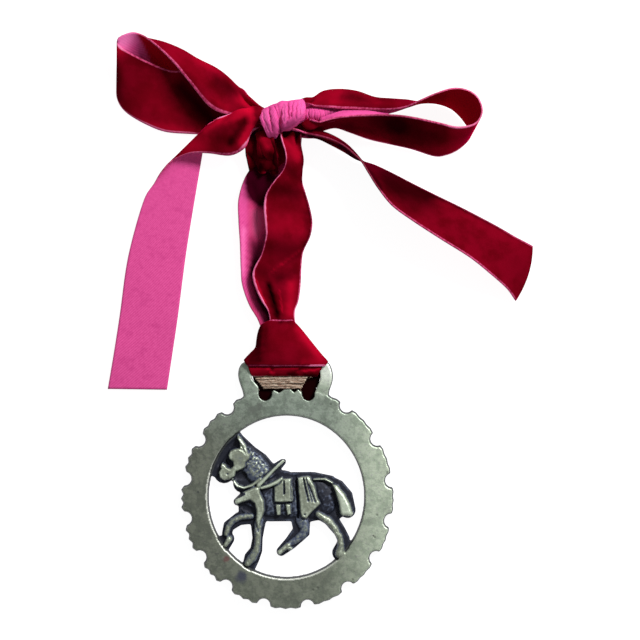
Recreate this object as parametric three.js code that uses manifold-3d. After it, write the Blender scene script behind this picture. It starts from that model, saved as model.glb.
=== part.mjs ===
// Horse brass hung on a velvet ribbon, lying flat on its back.
// Millimetres. Origin: centre of the round window, on the flat back of the casting.
// +X to the right, +Y towards the strap hanger and the bow, +Z out of the front.
import * as THREE from 'three';
import { mergeVertices } from 'three/addons/utils/BufferGeometryUtils.js';
import Module from 'manifold-3d';

const wasm = await Module();
wasm.setup();

// ---- driving dimensions ----
const RIM = {
  halfWidth: 38.3,       // over the lobes; the ring is a little taller than wide
  halfHeight: 40.1,
  centre: [0.3, -0.45],  // the outline is cast a little off the window
  coves: [9, 32, 56, 79, 102, 125, 148, 170, 191, 213, 234, 257, 281, 305, 327, 348], // degrees from +X
  coveDepth: 2.4,
  coveHalf: 3.7,         // degrees
  cuspDepth: 0.3,        // the three small cusps of a lobe are filed flatter to the right
  cuspExtraLeft: 0.6,
  thickness: 3.6,
  draft: 0.55,
};
const WINDOW = { backRadius: 28.9, frontRadius: 29.55, widthShare: 0.964, sides: 72 };
const HANGER = { barLow: 45.4, barHigh: 48.4, barBack: 1.6, barFront: 3.3, draft: 0.4 };
const HORSE = { ground: 2.3, slope: 1.1, arcSteps: 4 };
const RIBBON = { thickness: 0.8, across: 2 };
const TWINE = { radius: 0.5, strands: 4, pitch: 0.86, left: -11.5, low: 39.4, sides: 3 };

// The horse from the side, walking to the left, as chains of circles [x, y, radius].
const OUTLINE = {
  barrel: [[-6.5, -0.5, 8.5], [2, -0.1, 8.8], [9, -0.1, 8.9]],
  croup: [[9, 0, 8.8], [14, -0.6, 8.4], [16.2, -2.6, 6.2]],
  tail: [[14.6, 5.2, 2.6], [18.3, 3.3, 2.8], [21, 0.1, 2.9], [22, -4.9, 2.9]],
  hindLeg: [[13, -4, 5], [16, -8.3, 2.6], [19.2, -12.6, 2.2], [20.5, -15.3, 2.3], [20.4, -17.5, 2.3]],
  hindHoof: [[20.2, -18, 2.6], [19.5, -20.2, 3.1]],
  farHindLeg: [[5, -7, 3.6], [5.3, -12.7, 3.2], [1.4, -16.8, 2.3], [-1.9, -19.7, 1.7]],
  foreLeg: [[-10.5, -6, 4.2], [-10.2, -10, 2.6], [-10.4, -15, 1.85], [-10.9, -19.5, 2.2]],
  foreHoof: [[-10.9, -19.5, 2.2], [-12.4, -22, 2.8], [-13.2, -24.5, 2.5]],
  farForeLeg: [[-12, -6.5, 3.4], [-17.3, -8.2, 2.3], [-20.8, -10.7, 2.1], [-21.4, -13.4, 1.8]],
  farForeHoof: [[-21, -15.2, 2.3], [-22.2, -18, 1.9]],
  hoofWeb: [[-22, -15.5, 1.8], [-25, -16.3, 1.6]],
  chest: [[-10, -2, 6.4], [-13.6, -4.2, 3.7]],
  breast: [[-12.5, -1.2, 3], [-17.6, -1.9, 1.4]],
  throat: [[-11.5, 5.4, 4.4], [-15.8, 4.7, 3.4]],
  neck: [[-8, 5.4, 6.6], [-12.5, 11.4, 6.2], [-15.4, 16, 4.3], [-17.4, 21.5, 1.6]],
  head: [[-16, 15, 5], [-19, 11.5, 5], [-22.4, 8.4, 3.7]],
  face: [[-19, 18.5, 3], [-23, 14, 3.5], [-25.3, 9.3, 2.4]],
  hames: [[-6, 8.3, 2.2], [-1.4, 12.3, 1.2]],
  withers: [[-5, 4.7, 4.6], [-1, 4.6, 4.8]],
};
// A small web of metal left by the moulder between a hind hoof and the ring.
const HOOF_WEB = [[22.2, -16.6, 0.9], [24.6, -17.2, 0.9]];

// Raised forms on the ground of the horse: the same chains, with the height of their tops.
const FLESH = [
  { top: 3.7, path: [[-8.3, 6.2, 4.4], [-12, 11.4, 4.4], [-14.6, 15, 2.8]] },
  { top: 4.4, path: [[-18.6, 11.2, 2.8], [-21.6, 7.9, 2.6]] },
  { top: 3.3, path: [[-6, -1.5, 5.6], [2, -1, 6], [8.5, -1, 6.2]] },
  { top: 3.5, path: [[10.5, 0.5, 5.4], [13, -1.5, 5.2]] },
  { top: 3.9, path: [[9.7, 6.1, 0.6], [13, 6.1, 0.7], [16, 4.9, 0.6]] },
  { top: 4.2, path: [[12, -5.6, 1.2], [15, -7.1, 1.3], [18, -10.6, 1.1], [20.4, -14.3, 1.1]] },
  { top: 4.4, path: [[20.2, -16, 1.1], [19.2, -19.6, 2.1]] },
  { top: 3.5, path: [[5.2, -9, 2.3], [5.1, -12.5, 2], [1.2, -16.7, 1.2], [-1.6, -19.4, 0.9]] },
  { top: 4, path: [[-10.2, -8, 1.7], [-10.4, -15, 1], [-11.1, -20, 1.2], [-13, -24, 1.5]] },
  { top: 4, path: [[-13, -7.3, 1.2], [-16.9, -8, 1.2], [-20.2, -10.6, 1.1], [-21.1, -14.6, 1]] },
  { top: 4, path: [[-21, -15, 1.2], [-22, -17.6, 1]] },
  { top: 3.1, path: [[-12, -2.5, 3.8], [-13.8, -4.2, 2.4]] },
];
const HARNESS = [
  { top: 4.9, path: [[-17.2, 13.8, 3.1], [-17.8, 12.6, 3.1]] },
  { top: 4.7, path: [[-17.3, 21.4, 0.7], [-15.1, 18.6, 1], [-14.2, 16, 1]] },
  { top: 4.8, path: [[-22.8, 11.9, 0.7], [-20.8, 10.4, 0.8]] },
  { top: 4.2, path: [[-19.1, 6.4, 0.5], [-17.6, 4.3, 0.6], [-13.5, 3.9, 0.7], [-9.6, 6.9, 0.6]] },
  { top: 5, path: [[-0.9, 12.8, 0.5], [-4.6, 9.4, 0.6], [-8.7, 6, 0.9], [-10.6, 3, 1.4]] },
  { top: 4.8, path: [[-11, 3.2, 1.8], [-13.4, 1.8, 1.6], [-18, -1.7, 0.8]] },
  { top: 4.7, path: [[-10.8, 2.6, 2], [-9.4, -2, 1.7], [-9, -5, 1.5], [-10, -7.8, 1.4]] },
  { top: 4.7, path: [[-9, 2.9, 0.6], [-6, 3.5, 0.8], [-3.6, 4.7, 0.8], [-2, 6.5, 0.4]] },
  { top: 4.8, path: [[-1.8, 4.4, 1.1], [-2.6, 0, 1.8]] },
  { top: 4.9, path: [[0.7, 5.2, 1], [0.9, 0, 1.8]] },
  { top: 4.4, path: [[-2.8, -3.2, 0.9], [-2.8, -5.9, 0.8]] },
  { top: 4.4, path: [[0.8, -3.1, 0.9], [0.8, -6, 0.8]] },
  { top: 4.7, path: [[4.6, 6.1, 0.7], [5.4, -0.5, 1.2], [6.2, -6.2, 2]] },
  { top: 4.6, path: [[6.4, 7, 0.3], [7.6, 0.5, 0.6], [8.4, -3.6, 1]] },
  { top: 4.8, path: [[7.8, 6.8, 0.5], [9.9, 0.8, 1.3], [9.9, -2.6, 1.8]] },
  { top: 4.3, path: [[10.4, -2.6, 1.2], [12.4, -2.5, 0.5]] },
  { top: 4.7, path: [[16.8, 4.2, 0.5], [18.8, 1.8, 1.3], [20.9, -1.6, 1.8], [21.8, -5.3, 2]] },
];

// One length of ribbon in its runs. Each station holds the two edges of the ribbon,
// [x, y, z, x, y, z], and where it is cupped also how far its middle leaves the straight line.
const RUNS = {
  leftTail: { steps: 22, stations: [
    [-5.9, 132.6, 7, -5.8, 136.4, 8, 0, 2, 2], [-10.8, 131.6, 8, -10.7, 136, 8, 0, 5, 5],
    [-15.3, 126.6, 8.5, -13.2, 136.3, 8, 0, 6.5, 6], [-20.2, 122.4, 8, -16.6, 136.6, 8, 0, 6.5, 5.5],
    [-27.7, 123, 7, -19.6, 136.8, 9, 0, 2.5, 2], [-35, 123, 6, -23.2, 135.9, 9.2],
    [-41, 120.4, 4.8, -25.7, 134.5, 7.2], [-46.2, 117.2, 2.9, -28.5, 132.6, 4.4],
    [-48.5, 112.8, 1.3, -29.6, 126.5, 1.8], [-51.5, 106, 0.8, -31, 118.5, 1],
    [-57, 86, 0.6, -35.8, 89.5, 0.6], [-60, 65, 0.6, -39, 65, 1.4], [-62, 52, 1.2, -41, 51.5, 0.8],
    [-64.3, 38.6, 0.6, -43, 38.3, 0.6]] },
  leftLoop: { steps: 32, stations: [
    [-6.3, 135.6, 6, -7.3, 139, 6], [-11.2, 136, 5.6, -10.6, 141.3, 5.4, 0, 0, 1],
    [-16.1, 136.6, 6.2, -15.1, 145.6, 4.4, 0, 0.6, 1.4], [-21.9, 137, 8.6, -20.4, 146.7, 3.2, 1, 3.6, 0.6],
    [-27.6, 139.7, 10.6, -25.4, 146.7, 3, 1.5, 8.5, 0], [-34.4, 148, 12, -31.9, 149.3, 2.5, 1.5, 8, 0],
    [-39.4, 154.2, 12, -37.9, 150.3, 2, 1.5, 7.6, 0], [-44.3, 159.3, 12, -43.9, 151.4, 1.6, 0.5, 6.6, 0],
    [-48.3, 162.8, 12, -49.9, 152.4, 1, 0, 4.5, 0], [-51.3, 164.8, 11.5, -54.4, 151.9, 0.8, 0, 2, 0],
    [-54.5, 165.8, 11, -58, 150.4, 0.7, -0.5, 1, 0], [-57.7, 165.1, 10.4, -60.3, 147.4, 0.7, -0.8, 0, 0],
    [-60.1, 163.7, 9.8, -61, 144.5, 0.7], [-59.7, 161.5, 9, -59.9, 140.9, 0.7],
    [-56.4, 159.2, 8, -57, 137.6, 0.6], [-49.6, 155.8, 7, -51, 134, 0.6],
    [-41.9, 152.8, 6.2, -44, 131.2, 0.6], [-35.4, 152, 6, -36, 130.4, 0.7],
    [-27.2, 146.4, 5.4, -28, 130.3, 1.1], [-17.6, 138, 3.4, -18.9, 131.6, 1.4],
    [-9.6, 137, 3, -9.9, 133.6, 2], [-5.6, 136.1, 4, -5.9, 134.6, 3]] },
  rightLoop: { steps: 36, stations: [
    [4.3, 139.3, 9, 4.3, 141.1, 7], [8.5, 139.6, 11, 8, 142.1, 6, 0, 0.6, 0],
    [13.5, 139.1, 11.5, 12.5, 139, 6, 0, 5.8, 0], [19.4, 138.6, 11.5, 18.5, 136.2, 6, 0, 8.2, 0],
    [25.3, 138.4, 11.5, 25.4, 135.8, 5, 0, 7.8, 0], [31.3, 138.2, 12, 31.9, 136.5, 3.6, 0, 5.5, 0],
    [37.1, 137.9, 15, 37.9, 137.9, 2, 0, 4.4, 0], [42.4, 138.6, 18, 43.5, 139.9, 0.8, 0, 2.6, 0],
    [47.3, 140.8, 20.5, 48.5, 141.4, 0.6], [53.2, 143.4, 20, 54, 141.3, 0.6],
    [59.1, 145.2, 19, 59, 139.6, 0.6], [64, 144.7, 18, 62.3, 136.8, 0.6],
    [67.6, 142.4, 17.5, 64.8, 133.6, 0.6], [69.3, 138.7, 17.5, 66.3, 131.2, 0.6],
    [69, 135.5, 18, 66, 129.2, 0.6], [67, 132.9, 18, 64.3, 127, 0.6], [63.1, 131.7, 18, 61, 124.4, 0.6],
    [59.2, 131.8, 17.6, 57, 122.8, 0.6], [54.3, 133.1, 17.3, 53, 122.5, 0.6],
    [44.4, 135.2, 17.5, 45, 125, 0.6], [37.5, 135.9, 18, 38, 126.6, 0.7], [29.7, 135.9, 18, 30, 128.4, 1.2],
    [22.8, 135.6, 17, 23, 130.8, 2.4], [16.7, 134.9, 15.5, 17.5, 132.4, 3.6],
    [11.4, 133.4, 14.5, 12, 131.1, 4.5], [7.3, 134.9, 12, 6.5, 132.2, 6]] },
  rightTail: { steps: 28, stations: [
    [-0.9, 130.9, 8, 0, 130.6, 5, 0, 2.4, -1], [6.1, 129.8, 11.5, 7, 128.8, 3, 0.6, 3, -3],
    [10, 129.1, 13, 11, 128.4, 2.4, 1, 2.6, -3], [15, 127.8, 14, 16, 126.2, 2, 1.5, 2.6, -2],
    [19.9, 125.6, 15, 20.6, 123.9, 1.6, 2, 2.4, -1], [23.8, 122.5, 15.8, 24.8, 121.4, 1.2, 1.6, 1.6, 0],
    [26.8, 119.5, 16.6, 28, 120.2, 1], [29.2, 115.6, 17.4, 32, 118.9, 0.8], [32.6, 110.1, 18.4, 38, 116.1, 0.7],
    [37.5, 104, 18.4, 45, 112.5, 0.6], [44.4, 98.9, 17.5, 53, 108.5, 0.6], [54.3, 92.5, 16, 63.5, 103.4, 0.6],
    [65.3, 85.7, 13.5, 75, 97.4, 0.6], [72.9, 79.8, 10, 82, 93.4, 0.6], [79, 74.6, 5.5, 86.3, 91.2, 0.6],
    [82.5, 70.3, 2, 88.6, 90, 0.6]] },
  leftStrand: { steps: 20, stations: [
    [-9, 126, 6, 1, 127, 4], [-12.5, 119, 6, 0, 119, 3.4], [-15, 114, 5.4, 0, 113.6, 2.8, 0, 0, -2],
    [-17.1, 106.5, 5, 1, 106.5, 2.6, 0, 0, -2.2], [-17.1, 99, 4.6, 1.5, 99, 2.6, 0, 0, -2],
    [-16.6, 91, 4.4, 1.5, 91, 2.4, 0, 0, -1.8], [-16.3, 82, 4.2, 1, 82, 2.2, 0, 0, -1.6],
    [-15.8, 76, 4, 1.4, 76, 2, 0, 0, -1.4], [-13.4, 69, 3.8, 1.8, 69, 2, 0, 0, -1.2],
    [-10, 63, 3.4, 2.6, 63, 2, 0, 0, -0.8], [-8.6, 57, 2.6, 5, 57, 2], [-9.4, 51.4, 1.6, 8.4, 51.4, 1.6]] },
  rightStrand: { steps: 26, stations: [
    [-2.4, 128.4, 9, 4.5, 127.5, 7], [-0.6, 124.4, 10, 5.4, 124, 6], [-0.1, 119.9, 10, 6, 120.5, 5, 1, 0, 1.5],
    [-1.4, 116.5, 9.6, 5.6, 117, 4.4, 1, 0, 1.5], [-4.3, 113, 9, 5.6, 113, 4.2, 0.5, 0, 1],
    [-7.1, 108.6, 8.5, 6.8, 109, 4.2], [-8, 103.7, 8, 8.3, 104, 4.2], [-7.5, 97.7, 7.5, 9.3, 98.5, 4.2],
    [-7.3, 93.3, 7.5, 8.5, 93.5, 4.2, 0, 0, 1], [-8.8, 87.1, 7.2, 6, 88, 4, 0, 0, 1],
    [-11.3, 82.5, 6.8, 5.4, 83, 4], [-12.1, 79, 6.6, 5.2, 78, 4], [-11, 74.8, 6.6, 4.9, 74, 4],
    [-8.8, 70.3, 6.6, 4.2, 69.8, 4, 0, 0, -0.8], [-6.5, 66.5, 6.2, 3, 66.5, 4],
    [-6, 62, 5.6, 3.4, 62, 4], [-8, 57, 4.4, 7, 57, 3.4], [-9.4, 51.4, 2.4, 9.4, 51.4, 2.4]] },
  band: { steps: 12, stations: [
    [-11.8, 43.8, 1.6, 11, 43.8, 1.6], [-11.8, 44.2, 3.8, 11, 44.2, 3.8, 0, 0, 0.6],
    [-12.6, 45.6, 4.7, 12, 45.6, 4.7, 0, 0, 1.2], [-15.5, 47.7, 4.6, 15.1, 47.7, 4.6, 0, 0, 1.8],
    [-14.8, 50.4, 4.4, 13.6, 50.2, 4.4, 0, 0, 3], [-11.2, 53.7, 4.4, 10.4, 53.8, 4.4, 0, 0, 3.8],
    [-10, 58.5, 4.6, 6.6, 58.4, 4.6, 0, 0, 3.8], [-8.9, 61.6, 5, 4.4, 61.2, 5, 0, 0, 3.2],
    [-4.8, 64.2, 6.6, 1.8, 63.9, 6.2, 0, 0, 1.6]] },
  backOfHitch: { steps: 8, stations: [
    [-11.8, 43.7, 2.2, 11, 43.7, 2.2], [-11.8, 44.2, 0.9, 11, 44.2, 0.9], [-11.8, 45.6, 0.6, 11, 45.6, 0.6],
    [-11.6, 49, 0.6, 11, 49, 0.6], [-10, 51.2, 1.5, 9.4, 51.2, 1.5], [-9.2, 53.4, 2, 8.6, 53.4, 2]] },
  underTwine: { steps: 3, stations: [
    [-9.5, 39.2, 0.7, 9.8, 39.2, 0.7, 0, -0.3, 0], [-11, 41.4, 0.7, 10.6, 41.4, 0.7],
    [-11.7, 43.9, 1, 10.9, 43.9, 1]] },
};
// Lumps of bunched ribbon, in the knot and in the round ends of the slot:
// centre, half sizes, turn about Z in degrees, steps round and from pole to pole.
const LUMPS = {
  wrap: { at: [-1.2, 136, 9], half: [8.8, 5.9, 6.6], turn: 14, steps: [16, 10] },
  wrapFoot: { at: [-5.4, 132.4, 8.4], half: [3.4, 5.2, 5], turn: 14, steps: [16, 10] },
  bunch: { at: [-7.4, 123.6, 5.6], half: [6.8, 8, 4.6], turn: 6, steps: [16, 10] },
  slotLeft: { at: [-7.7, 37.6, 0.8], half: [1.8, 2.4, 0.6], turn: 0, steps: [8, 3] },
  slotRight: { at: [8, 37.5, 0.8], half: [1.7, 2.4, 0.6], turn: 0, steps: [8, 3] },
};

// ---- helpers ----
const rad = THREE.MathUtils.degToRad;

function solid(geometry) {
  const bare = geometry.clone();
  bare.deleteAttribute('normal');
  bare.deleteAttribute('uv');
  const merged = mergeVertices(bare, 1e-4);
  return new wasm.Manifold(new wasm.Mesh({
    numProp: 3,
    vertProperties: merged.attributes.position.array,
    triVerts: Uint32Array.from(merged.index.array),
  }));
}

const join = (solids) => solids.reduce((whole, next) => whole.add(next));

function geometryOf(manifold) {
  const mesh = manifold.getMesh();
  const geometry = new THREE.BufferGeometry();
  geometry.setAttribute('position', new THREE.BufferAttribute(mesh.vertProperties, 3));
  geometry.setIndex(new THREE.BufferAttribute(mesh.triVerts, 1));
  geometry.computeVertexNormals();
  return geometry;
}

// An outline raised to a top height, its wall leaning in by the draft and its foot below the base.
function raised(shape, base, top, draft, wall, arcSteps = 6) {
  const geometry = new THREE.ExtrudeGeometry(shape, {
    depth: top - base - wall, bevelEnabled: true, bevelThickness: wall, bevelSize: draft,
    bevelOffset: -draft, bevelSegments: 1, curveSegments: arcSteps,
  });
  return solid(geometry.translate(0, 0, base));
}

function block(low, high) {
  const size = high.map((value, i) => value - low[i]);
  const box = new THREE.BoxGeometry(...size);
  return solid(box.translate(...low.map((value, i) => value + size[i] / 2)));
}

// The outline round a chain of circles: a half circle at each end and straight flanks between.
function limb(chain, grow = 0) {
  const last = chain.length - 1;
  const heading = chain.map((circle, i) => {
    const [from, to] = [chain[Math.max(i - 1, 0)], chain[Math.min(i + 1, last)]];
    return Math.atan2(to[1] - from[1], to[0] - from[0]);
  });
  const flank = (i, side) => {
    const [x, y, r] = chain[i];
    const angle = heading[i] + side * Math.PI / 2;
    return [x + (r + grow) * Math.cos(angle), y + (r + grow) * Math.sin(angle)];
  };
  const cap = (i, start) => [...chain[i].slice(0, 2), chain[i][2] + grow, start, start + Math.PI, false];
  const between = chain.map((circle, i) => i).slice(1, last);
  const shape = new THREE.Shape();
  shape.absarc(...cap(0, heading[0] + Math.PI / 2));
  between.forEach((i) => shape.lineTo(...flank(i, -1)));
  shape.absarc(...cap(last, heading[last] - Math.PI / 2));
  between.reverse().forEach((i) => shape.lineTo(...flank(i, 1)));
  return shape;
}

// ---- the casting ----
function rimPoint(angle, depth) {
  return new THREE.Vector2(
    RIM.centre[0] + (RIM.halfWidth - depth) * Math.cos(rad(angle)),
    RIM.centre[1] + (RIM.halfHeight - depth) * Math.sin(rad(angle)));
}

function rimShape() {
  const inCove = [-1, -0.86, -0.5, 0, 0.5, 0.86, 1];
  const lobeSteps = 6;   // the odd ones are the tips of the three cusps
  const points = [];
  RIM.coves.forEach((cove, i) => {
    const leftness = Math.max(0, -Math.cos(rad(cove)));
    const cusp = RIM.cuspDepth + RIM.cuspExtraLeft * leftness;
    for (const share of inCove) {
      points.push(rimPoint(cove + share * RIM.coveHalf, cusp + RIM.coveDepth * Math.sqrt(1 - share ** 2)));
    }
    const next = i + 1 < RIM.coves.length ? RIM.coves[i + 1] : RIM.coves[0] + 360;
    const lobe = next - cove - 2 * RIM.coveHalf;
    for (let step = 1; step < lobeSteps; step += 1) {
      points.push(rimPoint(cove + RIM.coveHalf + lobe * step / lobeSteps, step % 2 ? 0 : cusp));
    }
  });
  return new THREE.Shape(points);
}

// The two posts and the bar of the hanger, drawn as one outline down to the rim.
function hangerShape() {
  const shape = new THREE.Shape();
  shape.moveTo(-15.2, 33);
  shape.quadraticCurveTo(-15.2, 36.6, -16.4, 39.6);
  shape.quadraticCurveTo(-18.4, 44.4, -16.4, 47.4);
  shape.quadraticCurveTo(-15.6, HANGER.barHigh, -14, HANGER.barHigh);
  shape.lineTo(13.6, HANGER.barHigh);
  shape.quadraticCurveTo(15.4, HANGER.barHigh, 16, 46.6);
  shape.quadraticCurveTo(17.6, 43, 15.8, 39);
  shape.quadraticCurveTo(14.8, 36.6, 15.6, 33);
  return shape;
}

// The slot under the bar: two round holes at its ends and a row of cusps between them.
function slotShape() {
  const shape = new THREE.Shape();
  shape.moveTo(-12.3, HANGER.barLow);
  shape.quadraticCurveTo(-13, 43.4, -12.2, 42);
  shape.lineTo(-10, 39.4);
  shape.absarc(-7.6, 36.8, 2.4, rad(165), rad(375), false);
  for (const [x, y] of [[-4.6, 38.3], [-2.5, 37.2], [-1, 38.4], [1.5, 38.5], [2.8, 37.3], [4.3, 38.5]]) {
    shape.lineTo(x, y);
  }
  shape.absarc(7.9, 36.7, 2.3, rad(165), rad(375), false);
  shape.lineTo(12, 41.6);
  shape.quadraticCurveTo(12.4, 43.4, 11.8, HANGER.barLow);
  return shape;
}

function casting() {
  const wall = 2.2;
  const window = new THREE.CylinderGeometry(
    WINDOW.frontRadius, WINDOW.backRadius, RIM.thickness + 0.02, WINDOW.sides);
  window.rotateX(Math.PI / 2).scale(WINDOW.widthShare, 1, 1).translate(0, 0, RIM.thickness / 2);
  const barRelief = (low, high) => block([-12.3, HANGER.barLow - 1, low], [11.8, HANGER.barHigh + 1, high]);
  const plate = raised(rimShape(), -wall, RIM.thickness, RIM.draft, wall)
    .add(raised(hangerShape(), -wall, RIM.thickness - 0.1, HANGER.draft, wall))
    .subtract(solid(window))
    .subtract(raised(slotShape(), -1, RIM.thickness + 1, 0, 0.5))
    .subtract(barRelief(-1, HANGER.barBack))
    .subtract(barRelief(HANGER.barFront, RIM.thickness + 1));

  const ground = [...Object.values(OUTLINE), HOOF_WEB].map((chain) => (
    raised(limb(chain), -1.2, HORSE.ground, 0, 1.2, HORSE.arcSteps)));
  const relief = [...FLESH, ...HARNESS].map(({ path, top }) => {
    const slope = Math.min(0.8 * Math.min(...path.map((circle) => circle[2])), HORSE.slope);
    return raised(limb(path, 0.25), HORSE.ground - 0.3, top, slope, top - HORSE.ground, HORSE.arcSteps);
  });
  const ring = new THREE.CylinderGeometry(33, 33, 20, 64).rotateX(Math.PI / 2);
  const horse = join(ground).add(join(relief)).intersect(solid(ring));
  return plate.add(horse).subtract(block([-60, -60, -20], [60, 60, 0]));
}

// ---- the ribbon ----
// A flat bar bent so that its two edges follow the stations of a run.
function run({ stations, steps }) {
  const full = stations.map((station) => [...station, 0, 0, 0].slice(0, 9));
  const track = [0, 3, 6].map((first) => new THREE.CatmullRomCurve3(
    full.map((station) => new THREE.Vector3(...station.slice(first, first + 3))), false, 'catmullrom', 0.5));
  const geometry = new THREE.BoxGeometry(1, 1, 1, RIBBON.across, 1, steps);
  const position = geometry.attributes.position;
  const point = (share, t) => {
    const [a, b, bow] = track.map((curve) => curve.getPoint(THREE.MathUtils.clamp(t, 0, 1)));
    return a.lerp(b, share).addScaledVector(bow, 4 * share * (1 - share));
  };
  for (let i = 0; i < position.count; i += 1) {
    const share = position.getX(i) + 0.5;
    const t = position.getZ(i) + 0.5;
    const side = position.getY(i) * RIBBON.thickness;
    const along = point(share, Math.min(t + 0.004, 1)).sub(point(share, Math.max(t - 0.004, 0)));
    const across = point(Math.min(share + 0.05, 1), t).sub(point(Math.max(share - 0.05, 0), t));
    const normal = along.cross(across).normalize();
    const place = point(share, t).addScaledVector(normal, side);
    position.setXYZ(i, place.x, place.y, place.z);
  }
  return solid(geometry);
}

function lump({ at, half, turn, steps }) {
  const ball = new THREE.SphereGeometry(1, ...steps).rotateX(Math.PI / 2);
  return solid(ball.scale(...half).rotateZ(rad(turn)).translate(...at));
}

function ribbon() {
  return join([...Object.values(RUNS).map(run), ...Object.values(LUMPS).map(lump)]);
}

// ---- the twine ----
// A few turns of twine across the slot, the last one going down at the right end.
function twine() {
  const strands = [];
  for (let k = 0; k < TWINE.strands; k += 1) {
    const y = TWINE.low + k * TWINE.pitch;
    const left = TWINE.left + 0.7 * (TWINE.strands - 1 - k);
    const z = 2 + 0.3 * (k % 2);
    const route = new THREE.CatmullRomCurve3([
      new THREE.Vector3(left, y, z), new THREE.Vector3(-5, y - 0.1, z + 0.2),
      new THREE.Vector3(3, y + 0.1, z), new THREE.Vector3(8.2 - 0.5 * k, y - 0.2, z - 0.1)]);
    const section = new THREE.Shape();
    section.absarc(0, 0, TWINE.radius, 0, 2 * Math.PI, false);
    strands.push(solid(new THREE.ExtrudeGeometry(section, {
      extrudePath: route, steps: 8, bevelEnabled: false, curveSegments: TWINE.sides,
    })));
  }
  return join(strands);
}

// ---- the parts ----
const PARTS = [
  ['horse_brass', casting, { color: 0x7d8466, roughness: 0.42, metalness: 0.9 }],
  ['velvet_ribbon', ribbon, { color: 0x8c0418, roughness: 0.9, metalness: 0 }],
  ['twine', twine, { color: 0xa08763, roughness: 0.95, metalness: 0 }],
];

const group = new THREE.Group();
for (const [name, make, look] of PARTS) {
  const mesh = new THREE.Mesh(geometryOf(make()), new THREE.MeshStandardMaterial(look));
  mesh.name = name;
  group.add(mesh);
}
export default group;
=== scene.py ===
import math
import bmesh
import bpy
import numpy as np
from mathutils import Matrix, Vector


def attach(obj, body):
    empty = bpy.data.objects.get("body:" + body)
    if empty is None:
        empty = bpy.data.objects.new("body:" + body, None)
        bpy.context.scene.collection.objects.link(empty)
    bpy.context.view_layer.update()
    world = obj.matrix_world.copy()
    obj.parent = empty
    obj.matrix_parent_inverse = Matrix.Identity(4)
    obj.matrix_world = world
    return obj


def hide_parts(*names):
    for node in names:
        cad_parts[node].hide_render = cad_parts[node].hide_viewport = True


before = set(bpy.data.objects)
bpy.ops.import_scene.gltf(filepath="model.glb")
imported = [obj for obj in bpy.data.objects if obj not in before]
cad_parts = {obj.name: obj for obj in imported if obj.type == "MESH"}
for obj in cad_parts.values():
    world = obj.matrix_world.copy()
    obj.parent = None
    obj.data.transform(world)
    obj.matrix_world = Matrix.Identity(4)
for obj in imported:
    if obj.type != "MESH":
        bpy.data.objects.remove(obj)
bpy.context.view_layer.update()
mm = 0.001

# the camera looks straight down on the middle of the object
view = {"height": 1.0, "field": 0.2304, "sensor": 36, "aim": (0.01205, 0.0634)}


def added(name, data):
    # a new object in the scene
    thing = bpy.data.objects.new(name, data)
    bpy.context.collection.objects.link(thing)
    return thing


cameraData = bpy.data.cameras.new("camera")
cameraData.sensor_width = view["sensor"]
cameraData.lens = view["sensor"] * view["height"] / view["field"]
camera = added("camera", cameraData)
camera.location = (*view["aim"], view["height"])
bpy.context.scene.camera = camera
bpy.context.scene.view_settings.view_transform = "Standard"
print("camera placed")


class Wire:
    # a socket of a finish that can be used in sums
    def __init__(self, finish, socket):
        self.finish = finish
        self.socket = socket

    def maths(self, operation, *values):
        return self.finish.node("Math", dict(enumerate(values)), operation=operation)

    def __add__(self, other):
        return self.maths("ADD", self, other)

    def __sub__(self, other):
        return self.maths("SUBTRACT", self, other)

    def __rsub__(self, other):
        return self.maths("SUBTRACT", other, self)

    def __mul__(self, other):
        return self.maths("MULTIPLY", self, other)

    def __truediv__(self, other):
        return self.maths("DIVIDE", self, other)

    def __pow__(self, other):
        return self.maths("POWER", self, other)

    __radd__ = __add__
    __rmul__ = __mul__

    def size(self):
        return self.maths("ABSOLUTE", self)

    def wave(self):
        # a sine that runs from 0 to 1
        return self.maths("SINE", self) * 0.5 + 0.5

    def clamped(self):
        return self.finish.node("Clamp", {"Value": self})

    def step(self, low, high):
        # 0 below low, 1 above high, soft in between; low may be the larger
        return self.finish.node("MapRange", {"Value": self, "From Min": low, "From Max": high},
                                interpolation_type="SMOOTHSTEP")


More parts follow.
